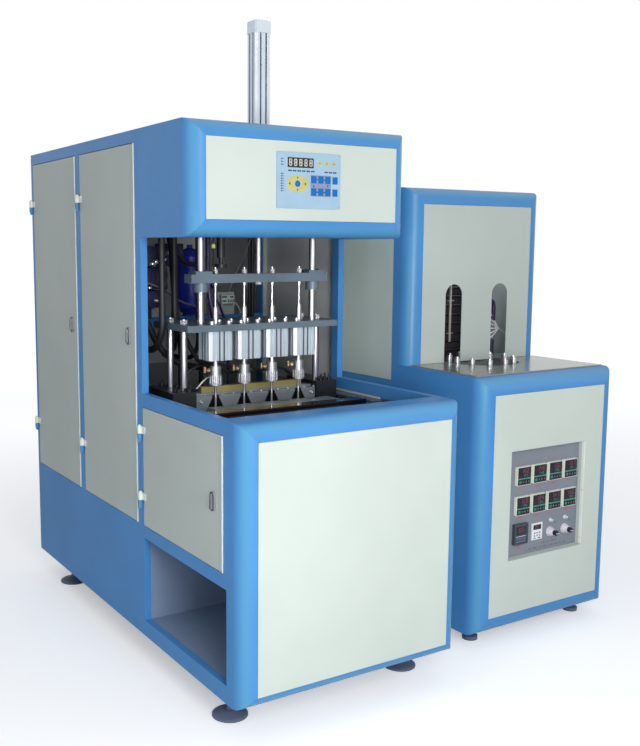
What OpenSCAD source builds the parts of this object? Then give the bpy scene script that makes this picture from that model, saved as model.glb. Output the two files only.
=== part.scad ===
// Semi-automatic bottle blowing machine in two cabinets: a stretch and blow station in a
// tall cabinet, and beside it a rotary oven that heats the preforms.
// X runs to the right along the fronts, Y to the back, Z up from the floor.

/* [Blow station cabinet] */
// Width of the blow station
cab_w = 864; // [850:1:960]
// Depth of the blow station
cab_d = 1864; // [1800:1:2100]
// Height of the blow station
cab_h = 1900; // [1860:1:2000]
// Underside of the bottom rails above the floor
cab_floor = 107; // [95:1:125]
// Top of the low front cabinet
table_h = 992; // [970:1:1020]
// Height of the open working space over the low cabinet
work_h = 541; // [520:1:560]
// How far the hood's face stands behind the low cabinet's face
hood_back = 318; // [290:1:340]
// How far the tall cabinet's front posts stand behind the low cabinet's face
tall_back = 695; // [690:1:720]

/* [Frame] */
// Radius of the rounded front edges
edge_r = 60; // [56:1:64]
// Width of the rounded surround beside and above a front panel
edge_w = 55; // [50:1:56]
// Height of the surround under the blow station's front panel
sill_h = 44; // [40:1:60]
// Thickness of posts and rails, in from the side face
post_t = 25; // [22:1:30]
// Width of the posts before and between the doors
post_w = 43; // [38:1:46]
// Width of the rearmost posts
rear_post_w = 22; // [18:1:30]
// Width of the low cabinet's front posts behind the rounded edge
front_post_w = 35; // [30:1:44]
// Height of the rail above the doors
rail_h = 43; // [38:1:50]
// Height of the side rails beside the table
table_rail_h = 47; // [42:1:52]
// Height of the bottom side rails
foot_rail_h = 58; // [50:1:64]
// Depth of the rim in front of the table opening
rim_d = 130; // [110:1:150]
// Height of the blue skirt under the two tall doors
skirt_h = 409; // [390:1:420]
// Height of the open storage bay under the low door
bay_h = 306; // [280:1:320]
// Depth of the storage bay's liner
bay_d = 400; // [300:1:500]

/* [Sheet metal] */
// Thickness of the sheet
sheet_t = 2; // [1.5:0.1:3]
// Depth of the folded edge of panels and doors
fold_d = 20; // [15:1:21]
// Gap around a fixed panel
panel_gap = 0.8; // [0.5:0.1:0.9]
// Gap around a door
door_gap = 2.5; // [2:0.1:4]

/* [Air and control pieces] */
// Underside of the cross rail that carries them
cross_rail_z = 1175; // [1150:1:1200]
// Height of the cross rail
cross_rail_h = 36; // [30:1:40]
// Air tank right of the cabinet's middle
tank_x = 60; // [50:1:70]
// Radius of the air tank
tank_r = 52; // [48:1:56]
// Right control box right of the cabinet's middle
box_right = 183; // [176:1:230]
// Left control box left of the cabinet's middle
box_left = 145; // [120:1:170]
// Air filter left of the cabinet's middle
filter_left = 105; // [95:1:110]
// Underside of the air filter's disc
filter_z = 1427; // [1420:1:1440]

/* [Door hardware] */
// Radius of a hinge barrel
barrel_r = 8; // [7:0.1:9]
// Height of one hinge half
barrel_h = 32; // [24:1:40]
// Radius of a hinge pin
pin_r = 4; // [3:0.1:5]
// Play around a hinge pin
pin_play = 0.05; // [0.02:0.01:0.1]
// Distance of the hinge pin behind the door's rear edge
hinge_back = 11; // [10.5:0.1:13]
// Distance of each hinge from the door's top and bottom edges
hinge_inset = 185; // [120:1:200]
// The same distance on the low door
low_hinge_inset = 95; // [70:1:130]
// Height of an oval latch
latch_h = 62; // [50:1:70]
// Width of an oval latch
latch_w = 28; // [22:1:32]
// How far a latch stands out of the door
latch_proud = 14; // [10:1:16]
// Distance of a latch from the door's front edge
latch_inset = 60; // [50:1:70]
// Radius of a latch spindle
latch_pin_r = 7; // [5:0.5:9]

/* [Feet] */
// Radius of a levelling pad
pad_r = 59; // [50:1:64]
// Height of a levelling pad
pad_h = 20; // [16:1:26]
// Radius of a foot's stem
stem_r = 12; // [10:1:16]
// Distance of the feet from the side faces
foot_inset = 80; // [70:1:100]
// Distance of the front and rear feet from the cabinet's ends
foot_end = 215; // [190:1:260]

/* [Stretch and blow head] */
// Distance between two blowing axes
pitch = 118; // [116:1:122]
// Number of blowing axes
axes = 4; // [4:1:4]
// Distance of the blowing axes behind the low cabinet's face
axis_y = 627; // [625:1:632]
// Height of the blow plate's columns
column_h = 215; // [205:1:230]
// Radius of the columns and of the guide rods
rod_r = 12.5; // [11:0.5:14]
// Distance of the columns outside the outer blowing axes
column_out = 105; // [101:1:113]
// Distance of the front columns behind the blowing axes
column_y = 40; // [36:1:46]
// Distance between front and rear columns
column_gap = 109; // [96:1:114]
// Distance of the guide rods outside the outer blowing axes
guide_out = 58.5; // [56:0.5:62]
// Blow plate beyond the columns on each side
plate_side = 33.5; // [30:0.5:43]
// Depth of the blow plate
plate_d = 285; // [270:1:292]
// Thickness of the blow plate
plate_t = 23; // [18:1:28]
// Part of the blow plate in front of the blowing axes
plate_lead = 67; // [64:1:72]
// Side of a square blow cylinder
cyl_w = 95; // [90:1:98]
// Height of a blow cylinder
cyl_h = 105; // [100:1:110]
// Thickness of a blow cylinder's end walls
cyl_end = 12; // [10:1:15]
// Bore radius of a blow cylinder
cyl_bore = 38; // [34:1:40]
// Radius of the hollow blowing shafts
shaft_r = 10; // [9:0.5:11]
// Height of a blowing shaft above the blow plate
shaft_up = 57; // [48:1:62]
// Length of blowing shaft seen between cylinder and sealing head
neck_gap = 24; // [20:1:30]
// Radius of a sealing head
head_r = 23; // [20:0.5:25]
// Height of a sealing head
head_h = 69; // [64:1:69]
// Downward stroke of the sealing heads
blow_stroke = 36; // [30:1:37]
// Play of a sliding fit, on the radius
slide_play = 0.05; // [0.02:0.01:0.08]
// Radius of a stretch rod
stretch_r = 5; // [4:0.5:6]
// Radius of the stretch rods' upper part
stretch_top_r = 4; // [3:0.5:4]
// Length of a stretch rod below the beam
stretch_l = 472; // [460:1:485]
// Height of the stretch beam over the blow plate
beam_up = 144; // [138:1:160]
// Stretch beam beyond the guide rods on each side
beam_side = 49.5; // [40:0.5:60]
// Depth of the stretch beam
beam_d = 56; // [50:1:60]
// Height of the stretch beam
beam_h = 31; // [26:1:36]
// Radius of the beam's bearing housings
housing_r = 25; // [22:1:28]
// Length of a bearing housing under the beam
housing_h = 32; // [24:1:34]
// Side of the profile of the stretch cylinder
stretch_cyl_w = 65; // [60:1:70]
// Length of the stretch cylinder
stretch_cyl_l = 415; // [405:1:460]
// Height of the stretch cylinder's end caps
cap_h = 42; // [36:1:48]
// Radius of the piston rod
piston_rod_r = 10; // [8:0.5:11]
// Travel of the beam down from where it stands
beam_down = 70; // [50:1:72]
// Travel of the beam up from where it stands
beam_rise = 240; // [200:1:240]

/* [Mould clamp] */
// Top of the moulds below the low cabinet's top
mould_drop = 18; // [14:1:24]
// Height of the moulds
mould_h = 200; // [190:1:210]
// Depth of a mould half
mould_d = 75; // [72:1:80]
// Material beside the outer cavities
mould_side = 77.5; // [74:0.5:84]
// Radius of a bottle cavity
bottle_r = 43; // [38:1:46]
// Radius of the cavity's neck
bottle_neck_r = 14; // [12:0.5:15]
// Height of the bottle cavity under the neck
bottle_h = 172; // [150:1:176]
// Opening between the mould halves
mould_gap = 80; // [70:1:90]
// Thickness of the moving platen
platen_t = 52; // [44:1:60]
// Drop of the moving half's top below the fixed half's
step_drop = 24; // [20:1:28]
// Width of the bed's side blocks
bed_block = 92; // [86:1:96]
// Depth of the bed's side blocks
bed_d = 210; // [200:1:220]
// Clearance between the moulds and the side blocks
bed_gap = 3; // [2:0.5:5]
// Distance of the clamp rod's piston before the bed
clamp_back = 350; // [340:1:360]
// Radius of the tie bars
tie_r = 17.5; // [15:0.5:20]
// Thickness of the bed plate
bed_t = 15; // [12:1:20]

/* [Heating oven] */
// Gap between the two cabinets
oven_gap = 227; // [150:1:400]
// Width of the oven
oven_w = 727; // [700:1:800]
// Depth of the oven
oven_d = 1113; // [1050:1:1200]
// Distance of the oven's face behind the blow station's face
oven_back = 147; // [100:1:200]
// Underside of the oven above the floor
oven_floor = 50; // [40:1:70]
// Height of the oven's table
oven_table = 1036; // [1010:1:1060]
// Height of the oven's tower
tower_h = 1738; // [1700:1:1800]
// Distance of the tower's face behind the oven's face
tower_back = 418; // [400:1:440]
// Width of the surround on the oven's fronts
oven_edge = 65; // [61:1:70]
// Thickness of the table sheet
oven_sheet = 5; // [4:0.5:6]
// Radius of the spindle disc
disc_r = 150; // [146:1:154]
// Running gap round the disc
disc_gap = 2; // [1:0.5:3]
// Radius of the circle of spindles
spindle_ring = 133; // [130:1:134]
// Number of spindles
spindles = 12; // [10:1:13]
// Radius of a spindle's base
spindle_r = 14.5; // [12:0.5:15]
// Height of a spindle's base
spindle_h = 29; // [24:1:34]
// Radius of a spindle's pin
spindle_pin_r = 7; // [5:0.5:9]
// Height of a spindle's pin
spindle_pin_h = 25; // [20:1:30]
// Distance of the disc's centre before the tower's face
disc_lead = 35; // [33:1:38]
// Width of an arched slot
arch_w = 90; // [88:1:94]
// Height of an arched slot over the table
arch_h = 318; // [290:1:340]

/* [Instrument window] */
// Left edge of the window from the oven's left side
win_x = 158; // [150:1:165]
// Width of the window
win_w = 406; // [400:1:412]
// Lower edge of the window
win_z = 325; // [300:1:330]
// Height of the window
win_h = 422; // [415:1:430]
// Depth of the window's recess
win_d = 30; // [26:1:36]
// Side of a temperature controller
meter_w = 72; // [68:1:76]
// Distance between two controllers in a row
meter_pitch = 86; // [82:1:88]
// Distance between the two rows
row_pitch = 117; // [112:1:120]
// How far a controller stands out
meter_proud = 14; // [10:1:18]
// Radius of a selector knob
knob_r = 11; // [9:0.5:13]
// Height of a selector's conical bezel
bezel_h = 24; // [20:1:28]
// How far a selector knob stands out of the plate
knob_l = 35; // [32:1:38]
// Switches below the top of the controllers
switch_drop = 236; // [228:1:244]
// Selectors below the toggles
knob_drop = 46; // [42:1:50]
// Distance between the two switches of a row
switch_pitch = 82; // [76:1:88]
// Length of a toggle's threaded bush
bush_l = 14; // [12:1:16]

/* [Hidden] */
$fn = 64;
// Hairline between two bars of a welded frame
weld = 0.2;
eps = 0.02;
hood_z = table_h + work_h;
door_z = cab_floor + skirt_h;
door_h = cab_h - rail_h - door_z;
door_l = (cab_d - rear_post_w - tall_back - 2 * post_w) / 2;
mid_post_y = tall_back + post_w + door_l;
low_door_y = edge_r + front_post_w + 17;
low_door_top = table_h - table_rail_h;
bay_y = edge_r + front_post_w;
bay_z = cab_floor + foot_rail_h;
axis_x = cab_w / 2;
outer_axis = (axes - 1) / 2 * pitch;
guide_x = outer_axis + guide_out;
column_x = outer_axis + column_out;
plate_w = 2 * (column_x + plate_side);
beam_w = 2 * (guide_x + beam_side);
mould_top = table_h - mould_drop;
mould_w = (axes - 1) * pitch + 2 * mould_side;
front_top = mould_top - step_drop;
bed_top = table_h + 3;
bed_z = mould_top - mould_h - 14;
bed_in = mould_w / 2 + bed_gap;
bed_y = axis_y - 7;
tie_x = bed_in + bed_block / 2;
tie_z = bed_z + 110;
plate_z = bed_top + column_h;
plate_top = plate_z + plate_t;
cyl_z = plate_z - cyl_h;
head_z = cyl_z - neck_gap - head_h;
shaft_top = plate_top + shaft_up;
beam_z = plate_top + beam_up;
tip_z = beam_z - stretch_l;
top_plate_z = cab_h - 50;
top_plate_t = 20;
barrel_z = top_plate_z + top_plate_t;
piston_h = 22;
piston_z = barrel_z + 22 + beam_down;
ox = cab_w + oven_gap;
oy = oven_back;
ty = oy + tower_back;
disc_x = ox + oven_w / 2;
disc_y = ty - disc_lead;
disc_z = oven_table - 2;
arch_x = sqrt(spindle_ring * spindle_ring - disc_lead * disc_lead);
plate_face_y = oy + win_d;
meter_x = ox + win_x + 53;
meter_z = win_z + win_h - 70;
switch_x = meter_x + 203;
switch_z = meter_z - switch_drop;
selector_z = switch_z - knob_drop;
full_w = cab_w + oven_gap + oven_w;
oven_feet_y = [foot_inset + 30, oven_d - foot_inset];
ref_x = (full_w - max(latch_proud, 2 * barrel_r)) / 2;
ref_y = cab_d / 2;
blue = "#4d95cf";
cream = "#d3dacb";

// The part's origin lies on the floor under the middle of the whole machine.
module piece(c) color(c) translate([-ref_x, -ref_y, 0]) children();

// A bar from corner p with size s.
module bar(p, s) translate(p) cube(s);

// The same on both sides of the blow station, or of the oven.
module both_sides() {
    children();
    translate([cab_w, 0, 0]) mirror([1, 0, 0]) children();
}
module both_oven_sides() {
    translate([ox, 0, 0]) children();
    translate([ox + oven_w, 0, 0]) mirror([1, 0, 0]) children();
}

// A panel of sheet with its four edges folded back. Its face looks along -Y.
module tray(w, h, d = fold_d) {
    difference() {
        cube([w, d, h]);
        translate([sheet_t, sheet_t, sheet_t]) cube([w - 2 * sheet_t, d, h - 2 * sheet_t]);
    }
}
// The same with its face along -X, running l along Y.
module side_tray(l, h, d = fold_d) translate([0, l, 0]) rotate([0, 0, -90]) tray(l, h, d);

// Outline w wide and d deep whose corners on the front side are rounded.
module round_front(w, d, r, first = true, last = true) {
    intersection() {
        square([w, d]);
        union() {
            if (first) translate([r, r]) circle(r);
            if (last) translate([w - r, r]) circle(r);
            translate([first ? r : 0, 0]) square([w - (first ? r : 0) - (last ? r : 0), d + 1]);
            translate([0, r]) square([w, d + 1]);
        }
    }
}
// Block with rounded front edges that meet in mitres.
module face_block(w, d, h, r, low) {
    intersection() {
        linear_extrude(h) round_front(w, d, r);
        translate([w, 0, 0]) rotate([0, -90, 0]) linear_extrude(w) round_front(h, d, r, low);
    }
}
// Rounded surround of a front panel: two side bars, a top bar and, if sill > 0, a bottom bar.
module surround(w, h, ew, sill) {
    d = edge_r;
    for (x = [0, w - ew])
        intersection() {
            face_block(w, d, h, edge_r, sill > 0);
            translate([x, 0, 0]) cube([ew, d, h]);
        }
    intersection() {
        face_block(w, d, h, edge_r, sill > 0);
        translate([ew + weld, 0, h - ew]) cube([w - 2 * ew - 2 * weld, d, ew]);
    }
    if (sill > 0)
        intersection() {
            face_block(w, d, h, edge_r, true);
            translate([ew + weld, 0, 0]) cube([w - 2 * ew - 2 * weld, d, sill]);
        }
}

module cabinet_frame() {
    inner = cab_w - 2 * post_t - 2 * weld;
    behind = edge_r + weld;
    piece(blue) {
        translate([0, 0, cab_floor]) surround(cab_w, table_h - cab_floor, edge_w, sill_h);
        translate([0, hood_back, hood_z]) surround(cab_w, cab_h - hood_z, edge_w, edge_w);
        // rim in front of the table opening
        bar([post_t + weld, behind, table_h - edge_w], [inner, rim_d - behind, edge_w]);
        both_sides() {
            bar([0, behind, cab_floor],
                [post_t, front_post_w - weld, table_h - table_rail_h - cab_floor - weld]);
            bar([0, behind, table_h - table_rail_h],
                [post_t, tall_back - behind - weld, table_rail_h]);
            bar([0, bay_y + weld, cab_floor],
                [post_t, tall_back - bay_y - 2 * weld, foot_rail_h]);
            bar([0, tall_back, cab_floor],
                [post_t, post_w, cab_h - rail_h - cab_floor - weld]);
            bar([0, mid_post_y, door_z], [post_t, post_w, door_h - weld]);
            bar([0, cab_d - rear_post_w, cab_floor],
                [post_t, rear_post_w, cab_h - rail_h - cab_floor - weld]);
            bar([0, tall_back, cab_h - rail_h], [post_t, cab_d - tall_back, rail_h]);
            // skirt under the tall doors
            translate([0, tall_back + post_w + weld, cab_floor])
                side_tray(cab_d - rear_post_w - tall_back - post_w - 2 * weld,
                    skirt_h - weld, post_t);
            // beam under the clamp bed
            bar([post_t + weld, behind, bed_z - bed_t - 55],
                [40, tall_back + post_w - behind, 55 - weld]);
            // beam under the top plate
            bar([sheet_t + weld, hood_back + behind, top_plate_z - 30],
                [40, tall_back - hood_back - behind - weld, 30 - weld]);
        }
        // rail between bay and low door, and jamb beside the door
        bar([0, bay_y + weld, bay_z + bay_h],
            [post_t, tall_back - bay_y - 2 * weld, door_z - bay_z - bay_h]);
        bar([0, bay_y + weld, door_z + weld],
            [post_t, low_door_y - bay_y - weld, low_door_top - door_z - 2 * weld]);
        // cross rails
        for (y = [tall_back, cab_d - post_w])
            bar([post_t + weld, y, cab_h - rail_h], [inner, post_w, rail_h]);
        bar([post_t + weld, cab_d - post_w, cab_floor], [inner, post_w, foot_rail_h]);
        for (y = [foot_end - 25, cab_d - foot_end - 25])
            bar([post_t + weld, y, cab_floor], [inner, 50, foot_rail_h - sheet_t - 4]);
        bar([post_t + weld, mid_post_y, cross_rail_z], [inner, post_w, cross_rail_h]);
    }
}

module lower_front_panel() {
    piece(cream)
        translate([edge_w + panel_gap, 0, cab_floor + sill_h + panel_gap])
            tray(cab_w - 2 * edge_w - 2 * panel_gap,
                table_h - cab_floor - sill_h - edge_w - 2 * panel_gap);
}

module hood_front_panel() {
    piece(cream)
        translate([edge_w + panel_gap, hood_back, hood_z + edge_w + panel_gap])
            tray(cab_w - 2 * edge_w - 2 * panel_gap, cab_h - hood_z - 2 * edge_w - 2 * panel_gap);
}

module hood_shell() {
    y0 = hood_back + edge_r + weld;
    l = tall_back - y0 - weld;
    piece(blue) {
        both_sides() {
            difference() {
                bar([0, y0, hood_z], [post_t, l, cab_h - hood_z]);
                bar([sheet_t, y0 - 1, hood_z + sheet_t], [post_t, l + 2, cab_h]);
            }
        }
        difference() {
            bar([sheet_t + weld, y0, cab_h - sheet_t],
                [cab_w - 2 * sheet_t - 2 * weld, l, sheet_t]);
            w = stretch_cyl_w + 4;
            bar([axis_x - w / 2, axis_y - w / 2, cab_h - sheet_t - 1], [w, w, sheet_t + 2]);
        }
    }
}

module cabinet_panels() {
    top_h = cab_h - rail_h;
    piece(cream) {
        // right side: two tall panels and a low one, fixed
        for (y = [tall_back + post_w, mid_post_y + post_w])
            translate([cab_w, y + panel_gap, door_z + panel_gap]) mirror([1, 0, 0])
                side_tray(door_l - 2 * panel_gap, door_h - 2 * panel_gap);
        translate([cab_w, bay_y + panel_gap, bay_z + panel_gap]) mirror([1, 0, 0])
            side_tray(tall_back - bay_y - 2 * panel_gap, low_door_top - bay_z - 2 * panel_gap);
        // back
        translate([cab_w - post_t - panel_gap, cab_d, bay_z + panel_gap]) rotate([0, 0, 180])
            tray(cab_w - 2 * post_t - 2 * panel_gap, top_h - bay_z - 2 * panel_gap);
        // roof of the tall part
        bar([post_t + panel_gap, tall_back + post_w + panel_gap, cab_h - sheet_t],
            [cab_w - 2 * post_t - 2 * panel_gap, cab_d - tall_back - 2 * post_w - 2 * panel_gap,
            sheet_t]);
    }
}

module bay_liner() {
    l = tall_back - bay_y;
    t = sheet_t;
    piece("#3c4a5c")
        difference() {
            bar([post_t + weld, bay_y - t + weld, bay_z - t], [bay_d, l + 2 * t - 2 * weld, bay_h + 2 * t]);
            bar([0, bay_y + weld, bay_z], [bay_d + post_t - t, l - 2 * weld, bay_h]);
        }
}

// Lift-off hinge half: a turned barrel whose free end is tapered over a length, and a leaf
// that lies on the face behind it. side is 1 where the leaf runs to the back and the taper
// is at the foot, and -1 where the leaf runs to the front and the taper is at the top.
module hinge_half(side, leaf, taper) {
    translate([0, 0, side > 0 ? 0 : barrel_h]) scale([1, 1, side])
        rotate_extrude()
            polygon([[0, 0], [barrel_r * 0.35, 0], [barrel_r * 0.75, taper * 0.35],
                [barrel_r, taper], [barrel_r, barrel_h], [0, barrel_h]]);
    translate([barrel_r - 3, side > 0 ? 0 : -leaf, side > 0 ? taper : 0])
        cube([3, leaf, barrel_h - taper]);
}
// Hinge stations of a door: height of the parting line of each hinge.
function hinge_zs(z, h, inset) = [z + inset, z + h - inset];

module frame_hinge(y, z) {
    translate([-barrel_r, y, z - barrel_h]) {
        hinge_half(1, barrel_r + 3, 16);
        cylinder(h = 2 * barrel_h - 4, r = pin_r);
    }
}

module hinge_pins() {
    ys = [mid_post_y, cab_d - rear_post_w, tall_back];
    insets = [hinge_inset, hinge_inset, low_hinge_inset];
    hs = [door_h, door_h, low_door_top - door_z];
    piece(blue)
        for (i = [0:2])
            for (z = hinge_zs(door_z, hs[i], insets[i]))
                frame_hinge(ys[i] + hinge_back - door_gap, z);
}

// A door panel with its front edge at y, width l, and its upper hinge halves.
module door(y, l, h, inset) {
    hy = y + l + hinge_back;
    lz = door_z + h / 2;
    piece(cream)
        difference() {
            union() {
                translate([0, y + door_gap, door_z + door_gap])
                    side_tray(l - 2 * door_gap, h - 2 * door_gap);
                for (z = hinge_zs(door_z, h, inset))
                    translate([-barrel_r, hy - door_gap, z + weld])
                        hinge_half(-1, hinge_back + 20, 7);
            }
            for (z = hinge_zs(door_z, h, inset))
                translate([-barrel_r, hy - door_gap, z - 1])
                    cylinder(h = barrel_h, r = pin_r + pin_play);
            translate([-1, y + latch_inset, lz]) rotate([0, 90, 0])
                cylinder(h = fold_d, r = latch_pin_r + slide_play);
        }
}
module door_rear() door(mid_post_y + post_w, door_l, door_h, hinge_inset);
module door_middle() door(tall_back + post_w, door_l, door_h, hinge_inset);
module door_low() door(low_door_y, tall_back - low_door_y, low_door_top - door_z, low_hinge_inset);

// Oval quarter-turn latch: boss, grip bar, spindle and cam behind the sheet.
module latch(y, z) {
    piece("#c9ccd0")
        translate([0, y, z]) {
            rotate([0, -90, 0])
                linear_extrude(latch_proud - 6)
                    union() {
                        for (s = [-1, 1])
                            translate([s * (latch_h - latch_w) / 2, 0]) circle(latch_w / 2);
                        square([latch_h - latch_w, latch_w], center = true);
                    }
            rotate([0, -90, 0]) linear_extrude(latch_proud) square([latch_h - 16, 8], center = true);
            rotate([0, 90, 0]) cylinder(h = fold_d - 4, r = latch_pin_r);
            translate([fold_d - 8, -9, -30]) cube([4, 18, 39]);
        }
}
module latch_rear() latch(mid_post_y + post_w + latch_inset, door_z + door_h / 2);
module latch_middle() latch(tall_back + post_w + latch_inset, door_z + door_h / 2);
module latch_low() latch(low_door_y + latch_inset, (door_z + low_door_top) / 2);

// Levelling foot with its pad on the floor and its stem up to height h.
module foot(h, r) {
    rotate_extrude()
        polygon([[0, 0], [r, 0], [r, 5], [r - 5, 9], [stem_r + 10, pad_h], [stem_r, pad_h], [stem_r, h],
            [0, h]]);
    translate([0, 0, h - 18]) cylinder(h = 10, r = stem_r * 1.7, $fn = 6);
}

module levelling_feet() {
    piece("#5b6672") {
        for (x = [foot_inset, cab_w - foot_inset], y = [foot_end, cab_d - foot_end])
            translate([x, y, 0]) foot(cab_floor, pad_r);
        for (x = [foot_inset, oven_w - foot_inset], y = oven_feet_y)
            translate([ox + x, oy + y, 0])
                rotate_extrude()
                    polygon([[0, 0], [pad_r / 2, 0], [pad_r / 2, 14], [stem_r, 18],
                        [stem_r, oven_floor], [0, oven_floor]]);
    }
}

module table_plates() {
    inner = cab_w - 2 * post_t - 2 * weld;
    z = table_h - 52;
    deck = axis_x - bed_in - bed_block - post_t - 4;
    piece("#2b2e33") {
        bar([post_t + weld, rim_d + weld, z - 4], [inner, 400 - rim_d, 4]);
        for (x = [post_t + weld, cab_w - post_t - deck - weld])
            bar([x, 402, z - 4], [deck, tall_back - 402 - weld, 7]);
        bar([post_t + weld, bed_y + bed_d + 4, z], [inner, cab_d - post_w - bed_y - bed_d - 8, 4]);
    }
}

module keypad() {
    w = 253;
    h = 181;
    zc = (hood_z + cab_h) / 2 + 3;
    piece("#b9cfe6")
        translate([axis_x + 7, hood_back, zc]) rotate([90, 0, 0])
            linear_extrude(4)
                difference() {
                    square([w, h], center = true);
                    for (sx = [-1, 1], sy = [-1, 1])
                        translate([sx * (w / 2 - 6), sy * (h / 2 - 6)]) circle(2);
                }
}

module top_plate() {
    piece("#7d8790")
        difference() {
            bar([sheet_t + 1, axis_y - 120, top_plate_z],
                [cab_w - 2 * sheet_t - 2, tall_back - 2 - (axis_y - 120), top_plate_t]);
            translate([axis_x, axis_y, top_plate_z - 1])
                cylinder(h = top_plate_t + 2, r = piston_rod_r + 4);
        }
}

// Cross-section of an extruded cylinder profile with slots along it.
module profile(w, slots, slot_w, slot_d) {
    difference() {
        intersection() {
            square([w, w], center = true);
            rotate(45) square([w * 1.27, w * 1.27], center = true);
        }
        for (a = [0:90:270], s = slots)
            rotate(a) translate([s - slot_w / 2, w / 2 - slot_d]) square([slot_w, slot_d + 1]);
    }
}

module stretch_cylinder() {
    w = stretch_cyl_w;
    top = barrel_z + stretch_cyl_l;
    piece("#c4ccd4")
        translate([axis_x, axis_y, 0])
            difference() {
                union() {
                    translate([0, 0, barrel_z]) linear_extrude(cap_h) profile(w, [], 1, 1);
                    translate([0, 0, barrel_z + cap_h - eps])
                        linear_extrude(stretch_cyl_l - 2 * cap_h + 2 * eps)
                            profile(w - 3, [-11, 11], 6, 5);
                    translate([0, 0, top - cap_h])
                        linear_extrude(cap_h) profile(w, [], 1, 1);
                }
                translate([0, 0, barrel_z - 1]) cylinder(h = cap_h, r = piston_rod_r + slide_play);
                translate([0, 0, barrel_z + 20])
                    cylinder(h = stretch_cyl_l - 40, r = 24 + slide_play);
                // cap screws' sockets
                for (sx = [-1, 1], sy = [-1, 1])
                    translate([sx * (w / 2 - 11), sy * (w / 2 - 11), top - 6])
                        cylinder(h = 8, r = 4);
            }
}

module piston_rod() {
    piece("#d9dde2")
        translate([axis_x, axis_y, 0]) {
            translate([0, 0, beam_z + 6]) cylinder(h = beam_h - 6 + eps, r = 6);
            translate([0, 0, beam_z + beam_h])
                cylinder(h = piston_z + piston_h - beam_z - beam_h, r = piston_rod_r);
            translate([0, 0, piston_z]) cylinder(h = piston_h, r = 24);
        }
}

module guide_rods() {
    piece("#d9dde2")
        for (s = [-1, 1])
            translate([axis_x + s * guide_x, axis_y, plate_top])
                cylinder(h = top_plate_z - plate_top, r = rod_r);
}

// Centre lines of the blowing axes.
function axis_at(i) = axis_x + (i - (axes - 1) / 2) * pitch;

module blow_plate() {
    c = 12;
    piece("#66727e")
        translate([axis_x, axis_y - plate_lead, plate_z])
            difference() {
                linear_extrude(plate_t)
                    polygon([[-plate_w / 2 + c, 0], [plate_w / 2 - c, 0], [plate_w / 2, c],
                        [plate_w / 2, plate_d], [-plate_w / 2, plate_d], [-plate_w / 2, c]]);
                for (i = [0:axes - 1])
                    translate([axis_at(i) - axis_x, plate_lead, -1])
                        cylinder(h = plate_t + 2, r = shaft_r + 1);
                for (s = [-1, 1], y = [0, column_gap])
                    translate([s * column_x, plate_lead + column_y + y, -1])
                        cylinder(h = plate_t + 2, r = 8.1);
            }
}

module plate_columns() {
    piece("#d9dde2")
        for (s = [-1, 1], y = [0, column_gap])
            translate([axis_x + s * column_x, axis_y + column_y + y, bed_top]) {
                cylinder(h = column_h, r = rod_r);
                cylinder(h = column_h + plate_t + 16, r = 8);
            }
}

// Nuts on the columns and socket screws of the blow cylinders.
module plate_screws() {
    piece("#c9ccd0")
        translate([0, 0, plate_top]) {
            for (s = [-1, 1], y = [0, column_gap])
                translate([axis_x + s * column_x, axis_y + column_y + y, 0])
                    difference() {
                        union() {
                            cylinder(h = 2, r = 18);
                            cylinder(h = 13, r = 15, $fn = 6);
                        }
                        translate([0, 0, -1]) cylinder(h = 20, r = 8.05);
                    }
            for (i = [0:axes - 1], sx = [-1, 1], sy = [-1, 1])
                translate([axis_at(i) + sx * 34, axis_y + sy * 36, 0])
                    difference() {
                        cylinder(h = 11, r = 8);
                        translate([0, 0, 5]) cylinder(h = 7, r = 4, $fn = 6);
                    }
        }
}

module blow_cylinders() {
    piece("#c4ccd4")
        for (i = [0:axes - 1])
            translate([axis_at(i), axis_y, cyl_z])
                difference() {
                    linear_extrude(cyl_h) profile(cyl_w, [-26, -9, 9, 26], 7, 4);
                    translate([0, 0, -1]) cylinder(h = cyl_h + 2, r = shaft_r + slide_play);
                    translate([0, 0, cyl_end])
                        cylinder(h = cyl_h - 2 * cyl_end, r = cyl_bore + slide_play);
                }
}

// Hollow blowing shaft with its piston, and the sealing head turned on its lower end.
module blow_head(i) {
    band = head_h * 0.55;
    piston_t = 18;
    top_in = plate_z - cyl_end - piston_t - 2;
    piece("#d9dde2")
        translate([axis_at(i), axis_y, 0]) {
            difference() {
                union() {
                    translate([0, 0, head_z + head_h - eps])
                        cylinder(h = shaft_top - head_z - head_h + eps, r = shaft_r);
                    translate([0, 0, top_in]) cylinder(h = piston_t, r = cyl_bore);
                    translate([0, 0, head_z + band]) cylinder(h = head_h - band, r = head_r - 3);
                    translate([0, 0, head_z]) cylinder(h = band + eps, r = head_r);
                }
                translate([0, 0, head_z - 1])
                    cylinder(h = shaft_top - head_z + 2, r = stretch_r + slide_play);
                // grip flutes of the seal holder
                for (a = [0:24:359])
                    rotate(a) translate([head_r + 1, 0, head_z + 5])
                        cylinder(h = band - 8, r = 2.6);
                translate([0, 0, head_z + band + 3])
                    rotate([0, 0, 150]) translate([head_r - 6, 0, 12]) rotate([0, 90, 0])
                        cylinder(h = 10, r = 4.05);
            }
            // air elbow
            rotate([0, 0, 150]) translate([head_r - 5, 0, head_z + band + 15]) {
                rotate([0, 90, 0]) cylinder(h = 20, r = 4);
                translate([3, 0, 0]) rotate([0, 90, 0]) cylinder(h = 8, r = 8, $fn = 6);
                translate([20, 0, -7]) cylinder(h = 20, r = 6.5);
            }
        }
}
module blow_head_1() blow_head(0);
module blow_head_2() blow_head(1);
module blow_head_3() blow_head(2);
module blow_head_4() blow_head(3);

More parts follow.
